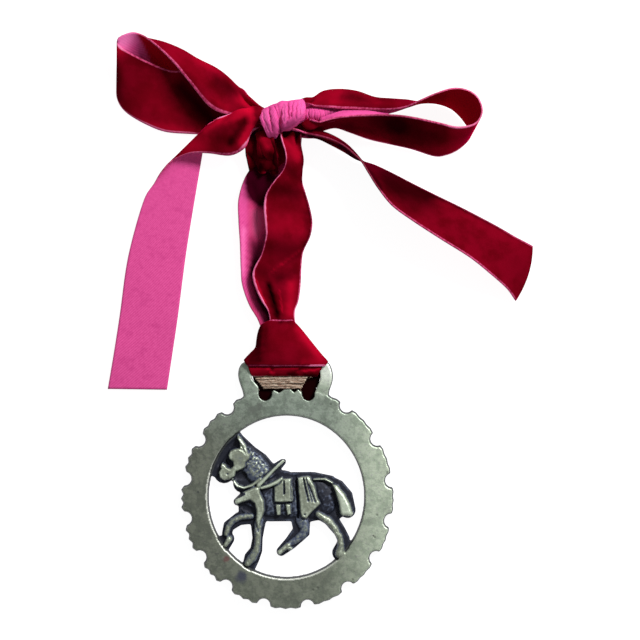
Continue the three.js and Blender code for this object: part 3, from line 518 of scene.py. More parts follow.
# runs of the ribbon: both edges at each station, x y z x y z, then how far the middle bows out; velvet -1 has
# the pile on the other face; pleats are how many, how far they reach, their phase, and 1 for both ends
runs = {
    "leftTail": {"velvet": -1, "pleats": (2, 16, 0.4, 0), "stations": [
        (-5.9, 132.6, 7, -5.8, 136.4, 8, 0, 2, 2), (-11, 130.2, 8.4, -10.7, 136, 8, 0, 5, 5),
        (-14.3, 125.3, 8.8, -13.2, 136.3, 8, 0, 6.5, 6), (-19.8, 122.2, 8.4, -16.6, 136.6, 8, 0, 6.5, 5.5),
        (-27.7, 123, 7, -19.6, 136.8, 9, 0, 2.5, 2), (-35, 123, 6, -23.2, 135.9, 9.2),
        (-41, 120.4, 4.8, -25.7, 134.5, 7.2), (-44.8, 116.6, 3, -28.5, 132.6, 4.4),
        (-47.6, 112.4, 1.3, -29.6, 126.5, 1.8), (-51.5, 106, 0.8, -31, 118.5, 1),
        (-57, 86, 0.6, -35.8, 89.5, 0.6), (-60, 65, 0.6, -39, 65, 1.4), (-62, 52, 1.2, -41, 51.5, 0.8),
        (-64.3, 38.6, 0.6, -43, 38.3, 0.6)]},
    "leftLoop": {"velvet": -1, "pleats": (2, 14, 1.2, 1), "stations": [
        (-6.3, 135.6, 6, -7.3, 139, 6), (-11.2, 136, 5.6, -10.6, 141.3, 5.4, 0, 0, 1),
        (-16.1, 136.6, 6.2, -15.1, 146, 4.4, 0, 1.4, 1.4), (-21.9, 137, 8.6, -20.4, 146.7, 3.2, 1, 6.8, 0.6),
        (-27.6, 139.7, 10.6, -25.4, 146.7, 3, 1.5, 9.8), (-34.4, 148, 12, -31.9, 149.3, 2.5, 1.5, 8),
        (-39.4, 154.2, 12, -37.9, 150.3, 2, 1.5, 7.6), (-44.3, 159.3, 12, -43.9, 151.4, 1.6, 0.5, 6.6),
        (-48.3, 162.8, 12, -49.9, 152.4, 1, 0, 4.5), (-51.3, 164.8, 11.5, -54.4, 151.9, 0.8, 0, 2),
        (-54.5, 165.8, 11, -58, 150.4, 0.7, -0.5, 1), (-57.7, 165.1, 10.4, -60.3, 147.4, 0.7, -0.8),
        (-60.1, 163.7, 9.8, -61, 144.5, 0.7), (-59.7, 161.5, 9, -59.9, 140.9, 0.7),
        (-56.4, 159.2, 8, -57, 137.6, 0.6), (-49.6, 155.8, 7, -51, 134, 0.6),
        (-41.9, 152.8, 6.2, -44, 131.2, 0.6), (-35.4, 152, 6, -36, 130.4, 0.7),
        (-27.2, 146.4, 5.4, -28, 130.3, 1.1), (-17.6, 138, 3.4, -18.9, 131.6, 1.4),
        (-9.6, 137, 3, -9.9, 133.6, 2), (-5.6, 136.1, 4, -5.9, 134.6, 3)]},
    "rightLoop": {"pleats": (2, 7, 0.2, 1), "stations": [
        (4.3, 139.3, 9, 4.3, 141.1, 7), (8.5, 139.6, 11, 8, 142.1, 6, 0, 0.6),
        (13.5, 139.1, 11.5, 12.5, 139, 6, 0, 5.8), (19.4, 138.6, 11.5, 18.5, 136.2, 6, 0, 8.2),
        (25.3, 138.4, 11.5, 25.4, 135.8, 5, 0, 7.8), (31.3, 138.2, 12, 31.9, 136.5, 3.6, 0, 5.5),
        (37.1, 137.9, 15, 37.9, 137.9, 2, 0, 4.4), (42.4, 138.6, 18, 43.5, 139.9, 0.8, 0, 2.6),
        (47.3, 140.8, 20.5, 48.5, 141.4, 0.6), (53.2, 143.4, 20, 54, 141.3, 0.6),
        (59.1, 145.2, 19, 59, 139.6, 0.6), (64, 144.7, 18, 62.3, 136.8, 0.6),
        (67.6, 142.4, 17.5, 64.8, 133.6, 0.6), (69.3, 138.7, 17.5, 66.3, 131.2, 0.6),
        (69, 135.5, 18, 66, 129.2, 0.6), (67, 132.9, 18, 64.3, 127, 0.6), (63.1, 131.7, 18, 61, 124.4, 0.6),
        (59.2, 131.8, 17.6, 57, 122.8, 0.6), (54.3, 133.1, 17.3, 53, 122.5, 0.6),
        (44.4, 135.2, 17.5, 45, 125, 0.6), (37.5, 135.9, 18, 38, 126.6, 0.7),
        (29.7, 135.9, 18, 30, 128.4, 1.2), (22.8, 135.6, 17, 23, 130.8, 2.4),
        (16.7, 134.9, 15.5, 17.5, 132.4, 3.6), (11.4, 133.5, 14.5, 12, 131.1, 4.5),
        (8.4, 133.1, 13.6, 8.4, 131, 5), (6.9, 134.6, 12, 6.2, 132.2, 6)]},
    "rightTail": {"pleats": (2, 10, 0.9, 0), "stations": [
        (-0.9, 130.9, 8, 0, 130.6, 5, 0, 2.4, -1), (6.1, 129.8, 11.5, 7, 128.8, 3, 0.6, 3, -3),
        (10, 129.1, 13, 11, 128.4, 2.4, 1, 2.6, -3), (15, 127.8, 14, 16, 126.2, 2, 1.3, 2.2, -2),
        (19.9, 125.6, 15, 20.6, 123.9, 1.6, 1.2, 1.4, -1), (23.8, 122.5, 15.8, 24.8, 121.4, 1.2, 0.7, 0.7),
        (26.8, 119.5, 16.6, 28, 120.2, 1), (29.2, 115.6, 17.4, 32, 118.9, 0.8),
        (32.6, 110.1, 18.4, 38, 116.1, 0.7), (37.5, 104, 18.4, 45, 112.5, 0.6),
        (44.4, 98.9, 17.5, 53, 108.5, 0.6), (54.3, 92.5, 16, 63.5, 103.4, 0.6),
        (65.3, 85.7, 13.5, 75, 97.4, 0.6), (72.9, 79.8, 10, 82, 93.4, 0.6),
        (79, 74.6, 5.5, 86.3, 91.2, 0.6, 0.6), (82.3, 70.3, 2, 88.6, 90, 0.6, 1.5, -0.3)]},
    "leftStrand": {"velvet": -1, "pleats": (2, 10, 0, 0), "stations": [
        (-9, 126, 2.4, 1, 127, 2), (-12, 119.4, 2.4, 0, 119, 2), (-15, 114, 4, 0, 113.6, 2.4, 0, 0, -1.4),
        (-17.1, 106.5, 5, 1, 106.5, 2.6, 0, 0, -2.2), (-17.1, 99, 4.6, 1.5, 99, 2.6, 0, 0, -2),
        (-16.6, 91, 4.4, 1.5, 91, 2.4, 0, 0, -1.8), (-16.3, 82, 4.2, 1, 82, 2.2, 0, 0, -1.6),
        (-15.8, 76, 4, 1.4, 76, 2, 0, 0, -1.4), (-13.4, 69, 3.8, 1.8, 69, 2, 0, 0, -1.2),
        (-10, 63, 3.4, 2.6, 63, 2, 0, 0, -0.8), (-8.6, 57, 2.6, 5, 57, 2),
        (-9.4, 51.4, 1.6, 8.4, 51.4, 1.6)]},
    "satinRoll": {"row": 0.3, "stations": [
        (4.6, 140.4, 6, 4.6, 133.4, 6, 0, 0, 2), (8.8, 140, 8, 8.8, 133.8, 8.4, 0, 0, 3),
        (13.4, 139.4, 8.6, 13.4, 134.4, 9.4, 0, 0, 2.2), (18.6, 138.4, 8.8, 18.6, 135, 10, 0, 0, 0.4)]},
    "satinSliver": {"stations": [
        (12, 135.2, 11, 12, 133, 12), (16, 136.6, 11, 16, 134, 13), (21, 138, 10.6, 21, 135, 14),
        (27, 138, 10.8, 27, 135.4, 14.4), (32, 137.4, 11.6, 32, 135.8, 14.4),
        (36.5, 136.9, 12.6, 36.5, 136.2, 14)]},
    "rightStrand": {"pleats": (2, 8, 0.5, 0), "stations": [
        (-2.8, 132, 6, 5, 131.4, 4), (-2.4, 128.4, 9, 5, 127.6, 6.4), (-0.6, 124.4, 10, 5.6, 124, 6),
        (-0.1, 119.9, 10, 6, 120.5, 5, 1, 0, 1.5), (-1.4, 116.5, 9.6, 5.6, 117, 4.4, 1, 0, 1.5),
        (-4.3, 113, 9, 5.6, 113, 4.2, 0.5, 0, 1), (-7.1, 108.6, 8.5, 6.8, 109, 4.2),
        (-8, 103.7, 8, 8.3, 104, 4.2), (-7.5, 97.7, 7.5, 9.3, 98.5, 4.2),
        (-7.3, 93.3, 7.5, 8.5, 93.5, 4.2, 0, 0, 1), (-8.8, 87.1, 7.2, 6, 88, 4, 0, 0, 1),
        (-11.3, 82.5, 6.8, 5.4, 83, 4), (-12.1, 79, 6.6, 5.2, 78, 4), (-11, 74.8, 6.6, 4.9, 74, 4),
        (-8.8, 70.3, 6.6, 4.2, 69.8, 4, 0, 0, -0.8), (-6.5, 66.5, 6.2, 3, 66.5, 4),
        (-6, 62, 5.6, 3.4, 62, 4), (-8, 57, 4.4, 7, 57, 3.4), (-9.4, 51.4, 2.4, 9.4, 51.4, 2.4)]},
    "band": {"velvet": -1, "sideways": True, "stations": [
        (-13.7, 46.8, 4.8, 13.6, 46.8, 4.8, 0, 0, 1.2), (-14.4, 47.6, 4.9, 14.3, 47.5, 4.8, 0, 0, 1.5),
        (-15.4, 48.6, 4.6, 15.1, 48.1, 4.6, 0, 0, 1.9), (-14.9, 49.5, 4.5, 14.6, 48.9, 4.5, 0, 0, 2.4),
        (-12.9, 51.5, 4.4, 12.4, 51.3, 4.4, 0, 0, 3.2), (-11.1, 53.4, 4.4, 10.4, 53.7, 4.4, 0, 0, 3.8),
        (-10.7, 55.6, 4.5, 8.7, 55.8, 4.5, 0, 0, 4), (-10.3, 58.2, 4.6, 6.8, 58.2, 4.6, 0, 0, 3.8),
        (-9.5, 60.7, 4.9, 4.9, 60.5, 4.9, 0, 0, 3.4), (-8.3, 62.2, 5.4, 3.4, 62.1, 5.2, 0, 0, 2.6),
        (-5, 63.4, 6.4, 1.8, 63.6, 6, 0, 0, 1.7)]},
    "underBand": {"velvet": -1, "sideways": True, "row": 0.35, "across": 60, "stations": [
        (-12.2, 43.4, 1.8, 11, 43.4, 1.8), (-12.7, 43.9, 3.2, 11.4, 43.9, 3, 0, 0, 0.4),
        (-13.2, 45.2, 4, 12, 45.2, 3.8, 0, 0, 0.8), (-13.6, 46.2, 4.2, 12.8, 46.2, 4.2, 0, 0, 1),
        (-13.8, 47.2, 3.4, 13, 47.2, 3.4, 0, 0, 1)]},
    "backOfHitch": {"folded": True, "stations": [
        (-11.8, 43.7, 2.2, 11, 43.7, 2.2), (-11.8, 44.2, 0.9, 11, 44.2, 0.9),
        (-11.8, 45.6, 0.6, 11, 45.6, 0.6), (-11.6, 49, 0.6, 11, 49, 0.6), (-10, 51.2, 1.5, 9.4, 51.2, 1.5),
        (-9.2, 53.4, 2, 8.6, 53.4, 2)]},
    "underTwine": {"folded": True, "stations": [
        (-7, 37.2, 0.6, 7.4, 37.2, 0.6), (-10.1, 39, 0.7, 10.9, 39, 0.7),
        (-11.7, 41.4, 0.7, 11.8, 41.4, 0.7), (-12.3, 43.9, 1, 12.4, 43.9, 1),
        (-12.8, 46, 1.2, 12.9, 46, 1.2)]},
}


def alongStations(stations, share):
    # a Catmull-Rom curve through the stations, at shares from 0 to 1
    table = np.array([(*station, 0, 0, 0)[:9] for station in stations], float)
    table = np.vstack([2 * table[0] - table[1], table, 2 * table[-1] - table[-2]])
    place = np.clip(share, 0, 1) * (len(stations) - 1)
    first = np.minimum(place.astype(int), len(stations) - 2)
    part = (place - first)[:, None]
    p0, p1, p2, p3 = (table[first + k] for k in range(4))
    m1, m2 = (p2 - p0) / 2, (p3 - p1) / 2
    return p1 + part * m1 + part**2 * (3 * (p2 - p1) - 2 * m1 - m2) + part**3 * (2 * (p1 - p2) + m1 + m2)


def acrossRows(rows, shares):
    a, b, bow = rows[:, None, 0:3], rows[:, None, 3:6], rows[:, None, 6:9]
    shares = shares[None, :, None]
    return a + (b - a) * shares + bow * 4 * shares * (1 - shares)


def runGrid(stations, pleats, columns, step):
    # points of a run in even rows, with pleats near its ends, and how far along the run each row is
    evenly = np.linspace(0, 1, ribbon["samples"])
    centre = acrossRows(alongStations(stations, evenly), np.array([0.5]))[:, 0]
    reach = np.concatenate([[0], np.cumsum(np.linalg.norm(np.diff(centre, axis=0), axis=1))])
    distance = np.linspace(0, reach[-1], max(int(reach[-1] / step), 6))
    across = np.linspace(0, 1, columns + 1)
    points = acrossRows(alongStations(stations, np.interp(distance, reach, evenly)), across)
    normal = np.cross(np.gradient(points, axis=0), np.gradient(points, axis=1))
    normal /= np.maximum(np.linalg.norm(normal, axis=-1, keepdims=True), 1e-9)
    waves, fade, phase, farEnd = pleats
    if waves:
        # as deep as the width that is gathered in allows
        width = np.linalg.norm(np.diff(points, axis=1), axis=2).sum(axis=1)
        spare = np.sqrt(2 * np.maximum((ribbon["width"] / width) ** 2 - 1, 0))
        deep = np.minimum(width * spare / (2 * math.pi * waves), ribbon["deepestPleat"])
        nearEnd = np.minimum(distance, reach[-1] - distance) if farEnd else distance
        deep *= 1 - softStep(nearEnd, 0.4 * fade, fade)
        turn = 2 * math.pi * waves * across[None, :] + phase + 0.08 * distance[:, None]
        fold = np.sin(turn + 0.7 * np.sin(turn * 0.5 + phase))
        points = points + normal * (deep[:, None] * fold)[:, :, None]
    return points, distance


# painted highlights (up to 1) and painted shade (down to -1) on the pile or satin: x y to x y, reach, how
# much
paintedLightStrokes = {
    "leftTail": [(-22, 135, -13, 137.6, 2, 1), (-15, 133.6, -19.6, 127.2, 1.7, -0.8),
        (-12.2, 135, -16, 126.6, 1.4, 1), (-24, 128.4, -20, 126.4, 2, -0.4),
        (-37, 127.4, -31, 125.4, 3.6, 0.35), (-10.6, 138, -10, 132, 1.4, -0.5),
        (-29, 131.8, -22, 135.2, 1.6, 0.7), (-22, 135.4, -15, 137.2, 1.4, 0.6),
        (-11.6, 131.8, -14.4, 127, 1, 1)],
    "leftLoop": [(-37.4, 146.4, -26.4, 134.6, 4, -1), (-61, 152, -60, 143, 2.2, -0.5),
        (-52, 158, -44, 154, 3, -0.4), (-48, 142, -41, 137, 6, 0.2), (-52, 134, -34, 131, 1.6, 0.35),
        (-41, 156, -32, 149, 5, 0.15), (-24.5, 148, -20, 145, 3.4, -0.7),
        (-17, 142.6, -12.4, 139.6, 2.2, 0.6), (-33, 157, -17, 147, 1.3, 0.3), (-61, 160, -56, 165, 2.6, 0.8),
        (-27, 142, -22, 139.4, 2, 0.35)],
    "rightLoop": [(11, 142.6, 19, 144, 2, 0.3), (22, 142.4, 28, 140, 2.4, -0.6),
        (16, 141, 40, 140.4, 1, 0.3), (34, 141.8, 44, 141.6, 1.8, -0.4), (32, 135, 40, 132.6, 3.6, -0.68),
        (40, 133, 51, 128.4, 4.4, -0.54), (27, 129.6, 36, 127.4, 1.6, 0.45), (46, 124.4, 62, 125.4, 2, 0.4),
        (60, 131, 66, 134.6, 3, 0.5), (17, 133, 23, 133, 1.6, -0.5), (60, 143, 67.6, 141, 2.2, 0.45),
        (50, 142, 56, 142.6, 2, -0.3)],
    "rightTail": [(8, 129.6, 20, 125.8, 1, -1), (20, 125.8, 27, 119.4, 1, -1),
        (17, 129.8, 22.4, 127.4, 0.6, 0.7), (22.4, 127.4, 26.4, 123.4, 0.6, 0.6),
        (27, 119.5, 33, 110, 0.8, -0.9), (24, 123.6, 30, 119, 1.8, -0.7), (34, 116, 50, 108.6, 5.5, -0.85),
        (36, 110, 44, 103, 3.4, -0.25), (40, 108, 84, 82, 9, -0.28), (37, 116.6, 62, 104.2, 1, -0.9),
        (62, 104.2, 88, 91, 0.9, -1)],
    "leftStrand": [(-10.6, 118, -3, 112, 4, -1), (-13, 117, -13.6, 112.6, 2, -1),
        (-12.4, 109, -8, 106.6, 3, -1), (-9, 92.6, -9.6, 84, 2.6, -0.7), (-12.6, 90.6, -11, 76, 2, -0.5),
        (-10.8, 102, -10.4, 93, 1.7, 0.8), (-9, 114, -8, 107, 2.6, -1), (-12, 109.6, -10, 106, 1.6, -0.7),
        (-11, 81, -7.4, 70, 2.4, -1), (-9, 72, -5.6, 63, 2.6, -1), (-15.4, 96, -15.8, 80, 0.9, 0.5)],
    "rightStrand": [(-2.6, 129, -0.4, 121, 0.8, 1), (-0.6, 119, -7.4, 109, 0.8, 0.9),
        (-7.8, 108, -7.6, 93, 0.7, 0.9), (-7.8, 92, -12, 80.6, 0.7, 0.9), (-12, 80, -6.4, 65, 0.6, 0.9),
        (-6, 80, 4.4, 88, 0.35, 0.5), (-3, 77.6, 3, 81, 1.6, -0.4), (1.4, 128, 4.2, 122, 2.4, 0.4),
        (-0.6, 118, 3.6, 115.4, 2.8, -0.35), (-5.6, 110.6, 3, 109, 3.4, -0.7), (-3, 98.4, 5, 98, 4, 0.22),
        (-7, 89.6, 3.6, 88, 3.4, -0.6), (-10, 81, -3, 79.6, 2.4, -0.5), (-6.6, 76, -3.4, 64.6, 1.5, -1),
        (-2.6, 74, -1.4, 66, 0.3, 0.5), (1.8, 76, 1.4, 66, 1.9, 0.7), (7, 102, 8, 95, 1.2, -0.4),
        (6, 128, 5.8, 113, 0.7, -0.9), (6.8, 109, 9.4, 98, 0.7, -0.9), (9, 95, 6.4, 89.6, 0.7, -0.8)],
    "band": [(-11.4, 60, -12.6, 49, 2.2, -0.8), (-9.2, 61, -9.6, 49, 1.5, -0.8),
        (4.4, 60, 11.8, 50.4, 1.6, 0.55), (-5, 57, 4, 52, 5, 0.12), (-14, 46.8, -5, 46.7, 0.7, -1),
        (-3, 46.8, 7.4, 46.7, 0.7, -0.95), (6, 48.4, 13, 48.2, 1.2, 0.35), (8, 46.8, 13.4, 46.8, 0.4, 1),
        (-2, 63, 1.8, 63.4, 0.7, -0.8)],
    "underBand": [(-13, 43.4, -8, 43.2, 0.5, 1), (-6.6, 45.8, -4.8, 44.6, 0.6, 1),
        (6.4, 45.4, 11.6, 45.8, 0.6, 0.8), (-12, 45.4, 4, 45.2, 1.6, 0.35), (1, 44.4, 3.4, 44, 0.7, -1),
        (7, 43.4, 12, 43, 0.9, -1)],
    "underTwine": [(-12, 40, 12, 40, 4, -1)],
    "satinRoll": [(16, 136.6, 20, 136.8, 1.6, -0.7), (6.8, 140.4, 16, 140.2, 0.7, -0.5)],
    "satinSliver": [(12, 133.6, 16, 134.6, 1, -0.4)],
    "wrapOver": [(-2.2, 140, -2.2, 130.8, 0.5, -0.7), (-9.6, 136.4, -8, 131.6, 0.7, -0.3),
        (2.6, 134, -1, 131.4, 1, -0.35), (-7.6, 137, -7, 131, 1, 0.25), (5.6, 141, 5.4, 136.6, 1, 0.2),
        (-0.6, 140, -0.4, 134, 0.6, 0.2)],
    "leftFold": [(-10, 121.4, -7.6, 119, 1.8, -1), (-5, 119, -3.4, 116.4, 1.6, -1),
        (-10.6, 129, -8.4, 124.6, 1, 0.5), (-12.6, 130, -9, 130, 2, -0.9), (-5, 122, -2.6, 116, 2.6, -1),
        (-12.8, 120.2, -8, 119.8, 0.8, 0.25), (-13.4, 117.6, -4, 117.4, 1.4, -1),
        (-13.8, 126, -12.8, 120, 1.2, -0.7), (-6, 127, -3, 124, 1.6, -0.8)],
    "frontFold": [(-9, 127.6, -7, 124.6, 1, 0.6), (-5.4, 122.4, -3, 120, 1.4, -0.9)],
}
# hollows pressed into the ribbon: x y to x y, reach and depth
dents = {
    "leftTail": [(-15.2, 133.6, -19.2, 127.4, 2.1, 1.2)],
    "leftLoop": [(-25, 149, -19, 144.4, 2.2, 1.2)],
    "rightLoop": [(23, 142.6, 29, 140.6, 1.5, 1)],
    "rightStrand": [(-6.6, 76, -3.4, 65, 0.9, 1.6), (-6.4, 79.6, 4, 87.6, 0.5, -0.5),
        (-1.6, 117.6, 4, 113, 2, 0.8)],
    "leftStrand": [(-12.8, 111.4, -11, 106, 1.6, 1.2), (-12.6, 92, -10.4, 74, 1.4, 1)],
    "band": [(-7.6, 62, -8.6, 49, 1, 0.7), (-3, 60, 3, 50, 3, 0.5), (-13, 48, 13, 47.8, 0.4, 0.25)],
    "underBand": [(-7.4, 43.6, -4.8, 46.2, 0.5, 0.7), (1.4, 43.6, 4.6, 45.6, 0.5, 0.6),
        (4.6, 45.6, 11, 46, 0.4, 0.4)],
    "satinRoll": [(7.8 + 0.95 * k, 140, 8.3 + 0.95 * k, 134, 0.3, 0.5 - 0.2 * (k % 2)) for k in range(10)],
    "wrapOver": [(-2, 141, -2.3, 130.4, 0.75, 2.4), (-3.9, 138.8, -2.7, 134, 0.4, 0.8),
        (-6.3, 139.6, -5.7, 135.4, 0.45, 0.8), (-5.7, 135.4, -4.8, 131, 0.4, 0.7),
        (-8.4, 138, -7.2, 131, 0.4, 0.35), (0.7, 140, 0.9, 134.8, 0.4, 0.9),
        (-0.6, 139.6, -0.7, 134, 0.3, 0.4), (2.3, 140.6, 1.9, 135.6, 0.35, 0.6),
        (3.8, 140.2, 3.4, 134.8, 0.35, 0.5), (5.2, 141, 4.8, 136, 0.3, 0.35), (1.6, 136, -1, 132, 0.5, 0.5),
        (-7.4, 134, -5.4, 129, 0.35, 0.3)],
    "leftFold": [(-11, 130, -10.6, 118, 0.8, 1.2), (-13.6, 122.4, -6, 120.6, 0.9, 1.4),
        (-6.2, 124, -4.6, 117, 1, 1.8), (-9.4, 121, -8.8, 116.4, 0.6, 0.8)],
}
# painted shade: where the satin is painted deep red, as it looks in shade and in the red light through the
# velvet round it: lean, from, to, how much
shadedRedSatin = {"leftLoop": (0.42, 15.752, 17.352, 1), "rightLoop": (0, 36, 44, 1), "rightTail": (0, 7, 12, 1),
          "leftStrand": (0, -15.4, -12.4, 0.5)}


def spread(x, y, marks):
    # sum of soft-edged strokes
    total = np.zeros(x.shape)
    x, y = x + 0.16 * np.sin(2.3 * y + 0.9 * x), y + 0.16 * np.sin(2.1 * x + 1.1 * y)
    for *ends, reach, amount in marks:
        total += amount * np.exp(-((nearLine(x, y, *ends)[0] / reach) ** 2))
    return total


def addRun(bm, name, stations, velvet=1, pleats=(0, 0, 0, 0), folded=False, sideways=False,
           across=ribbon["across"], row=ribbon["row"]):
    uv = bm.loops.layers.uv.verify()
    points, distance = runGrid(stations, pleats, across, row)
    x, y = points[:, :, 0], points[:, :, 1]
    lean, low, high, most = shadedRedSatin.get(name, (0, 0, 1, 0))
    # deep is painted shade on the satin; the other layer is painted highlight and shade
    painted = {"deep": most * softStep(x + lean * y, low, high),
               "paintedLight": np.clip(spread(x, y, paintedLightStrokes.get(name, [])), -1, 1)}
    layers = {kind: bm.verts.layers.float.get(kind) or bm.verts.layers.float.new(kind) for kind in painted}
    points[:, :, 2] = np.maximum(points[:, :, 2] - spread(x, y, dents.get(name, [])), ribbon["lowest"])
    rows, columns = points.shape[:2]
    made = bmesh.ops.create_grid(bm, x_segments=columns - 1, y_segments=rows - 1, size=0.5)["verts"]
    spots = {}
    for vert in made:
        column = round((vert.co.x + 0.5) * (columns - 1))
        level = round((vert.co.y + 0.5) * (rows - 1))
        vert.co = points[level, column] * mm
        for kind, values in painted.items():
            vert[layers[kind]] = values[level, column]
        share, along = column / (columns - 1), distance[level] / ribbon["width"]
        if sideways:
            left = (distance[-1] - distance[level]) / ribbon["width"]
            spots[vert] = (along if along < left else 1 - left, column / columns)
        else:
            spots[vert] = (0.3 + 0.4 * share if folded else share, along)
    faces = {face for vert in made for face in vert.link_faces}
    if velvet > 0:
        bmesh.ops.reverse_faces(bm, faces=list(faces))
    for face in faces:
        face.material_index = foldFace if folded or sideways else pileFace
        for loop in face.loops:
            loop[uv].uv = spots[loop.vert]


def ribbonPiece(name, named):
    bm = bmesh.new()
    bm.loops.layers.uv.new("weave")
    for key, run in named.items():
        addRun(bm, key, **run)
    piece = pieceFrom(bm, name, ribbonFinishes, "velvet_ribbon")
    applied(piece, "SOLIDIFY", thickness=ribbon["thickness"] * mm, offset=0,
            material_offset=satinBack, material_offset_rim=selvedgeRim)
    return piece


def woven(finish):
    # how far across and along the ribbon, then how much painted highlight and painted shade it has
    spot = finish.node("UVMap", {}, uv_map="weave")
    paintedLight = finish.painted("paintedLight")
    return finish.axis(spot, "X"), finish.axis(spot, "Y"), paintedLight.clamped(), (0 - paintedLight).clamped()


def selvedgeTone(finish, threads, up, down):
    wearAndHighlight = finish.noise(finish.place(), 1100, 3).step(0.4, 0.62)
    # the selvedge threads take painted highlight and painted shade
    return finish.coats(finish.mix(*ribbon["thread"], threads),
                        (ribbon["threadWorn"], wearAndHighlight * 0.75 * (1 - up)),
                        (ribbon["threadBright"], up * 0.8), (ribbon["threadDark"], down * 0.9))


def velvetPile():
    finish = Finish("velvet_pile", Roughness=0.9, Specular_IOR_Level=0, Sheen_Weight=0.5,
                    Sheen_Roughness=0.28, Sheen_Tint=(0.8, 0, 0.08, 1))
    across, along, up, down = woven(finish)
    here = finish.place()
    patches = finish.noise(here, 130, 3)
    tips = finish.noise(here, 2400, 2)
    # the pile takes painted highlight and painted shade, and its selvedge shows wider under painted highlight
    red = finish.coats(finish.mix(*ribbon["pile"], patches.step(0.35, 0.65)),
                       (ribbon["pileBright"], up * (0.8 + 0.4 * patches)), (ribbon["pileDark"], down * 0.92),
                       (ribbon["pileTips"], tips.step(0.5, 0.85) * 0.25 * (1 - down)))
    wide = ribbon["selvedge"] * (1 + up)
    edge = (across - 0.5).size().step(0.5 - 1.2 * wide, 0.5 - 0.8 * wide)
    red = finish.mix(red, selvedgeTone(finish, (along * ribbon["threads"]).wave(), up, down), edge)
    finish.wire(Base_Color=red, Normal=finish.bump(tips, 0.25, 0.15 * mm))
    return finish


def satinFace():
    finish = Finish("satin_face", Roughness=0.6, Specular_IOR_Level=0)
    across, along, up, down = woven(finish)
    here = finish.place()
    twill = ((across + along) * ribbon["twill"]).wave()
    slub = finish.noise(here, 900, 4, 0.7)
    creased = finish.noise(here, 320, 3)
    # the satin takes painted highlight, painted deep red shade inside the folds, and painted shade
    pink = finish.coats(finish.mix(*ribbon["satin"], twill * 0.3 + slub * 0.7),
                        (ribbon["satinCrease"], creased.step(0.5, 0.75) * 0.35), (ribbon["satinBright"], up),
                        (ribbon["satinShadedRed"], finish.painted("deep")), (ribbon["satinDark"], down))
    finish.wire(Base_Color=pink, Normal=finish.bump(0.6 * twill + 0.9 * slub, 0.4, 0.1 * mm))
    return finish


def selvedgeThread():
    finish = Finish("selvedge_thread", Roughness=0.6, Specular_IOR_Level=0.2)
    along, up, down = woven(finish)[1:]
    threads = (along * ribbon["threads"]).wave()
    finish.wire(Base_Color=selvedgeTone(finish, threads, up, down),
                Normal=finish.bump(threads, 0.3, 0.08 * mm))
    return finish


pile = velvetPile()
# painted shade: near-black velvet for the ribbon in the dark of the slot
shaded = Finish("velvet_shaded", Base_Color=(*ribbon["shaded"], 1), Roughness=1, Specular_IOR_Level=0)
ribbonFinishes = [pile, satinFace(), selvedgeThread(), pile, shaded]
makeBrass()
bow = ribbonPiece("velvet_ribbon_bow", runs)
print("ribbon laid,", len(bow.data.polygons), "faces")

# the knot: gathered runs over crumpled lumps
knot = {
    "wrapOver": {"velvet": -1, "across": 96, "row": 0.4, "stations": [
        (-7.5, 137.2, 4, 5.4, 140.6, 4), (-8.7, 138.4, 8, 5.8, 142, 9, 0, 0.6, 1),
        (-9.6, 136.6, 12, 6.8, 140, 13.2, 0, 0.6, 2), (-8.8, 133.6, 14, 6.6, 137, 15, 0, 0, 2),
        (-7.4, 130.6, 13.4, 4.4, 134.2, 14, 0, 0, 1.6), (-6.4, 128.6, 11, 0.4, 131.6, 12, 0, 0, 1),
        (-5.2, 128, 7.6, -2, 130.6, 8)]},
    "leftFold": {"pleats": (2, 60, 1.1, 0), "folded": True, "across": 48, "row": 0.5, "stations": [
        (-12.6, 135, 4, -4, 134.6, 6), (-13.6, 130.4, 5.4, -4.6, 130.6, 8.4),
        (-14.2, 126, 6, -4.4, 126.6, 9, 0, 0, 1), (-14, 121.4, 5.6, -3.4, 121.6, 7, 0, 0, 0.6),
        (-13.2, 116.8, 4, -3, 116, 4)]},
    "frontFold": {"folded": True, "stations": [
        (-10.8, 130, 8, -7.6, 131, 9, 0, 0, 1), (-10, 126.6, 9.4, -6, 128, 10.6, 0, 0, 1.6),
        (-8.4, 123.2, 9, -4.4, 124.8, 9.6, 0, 0, 1.6), (-6, 120.2, 6, -2.6, 121.6, 6, 0, 0, 1)]},
}
# lumps of crumpled ribbon: middle, half sizes, turn in degrees, material, and painted highlight or painted
# shade (below 0)
lumps = {
    "wrap": ((-1.2, 136, 9), (8.2, 5.4, 6), 14, satinBack, 0),
    "wrapFoot": ((-5.2, 132.6, 8.4), (3, 4.6, 4.6), 14, satinBack, 0),
    "bunch": ((-6.4, 124.4, 4.2), (6.2, 7.8, 3.4), 6, foldFace, -0.75),
    "inner": ((1.4, 131.6, 4.4), (8.6, 3.6, 3.4), 8, foldFace, -1),
    "slotLeft": ((-7.7, 37.5, 0.6), (2.9, 3.5, 0.5), 0, shadedFace, -1),
    "slotRight": ((8, 37.4, 0.6), (2.8, 3.5, 0.5), 0, shadedFace, -1),
}
crumple = {"segments": (48, 28), "folds": (9, 17), "depth": 0.035, "weave": (0.2, 0.5)}


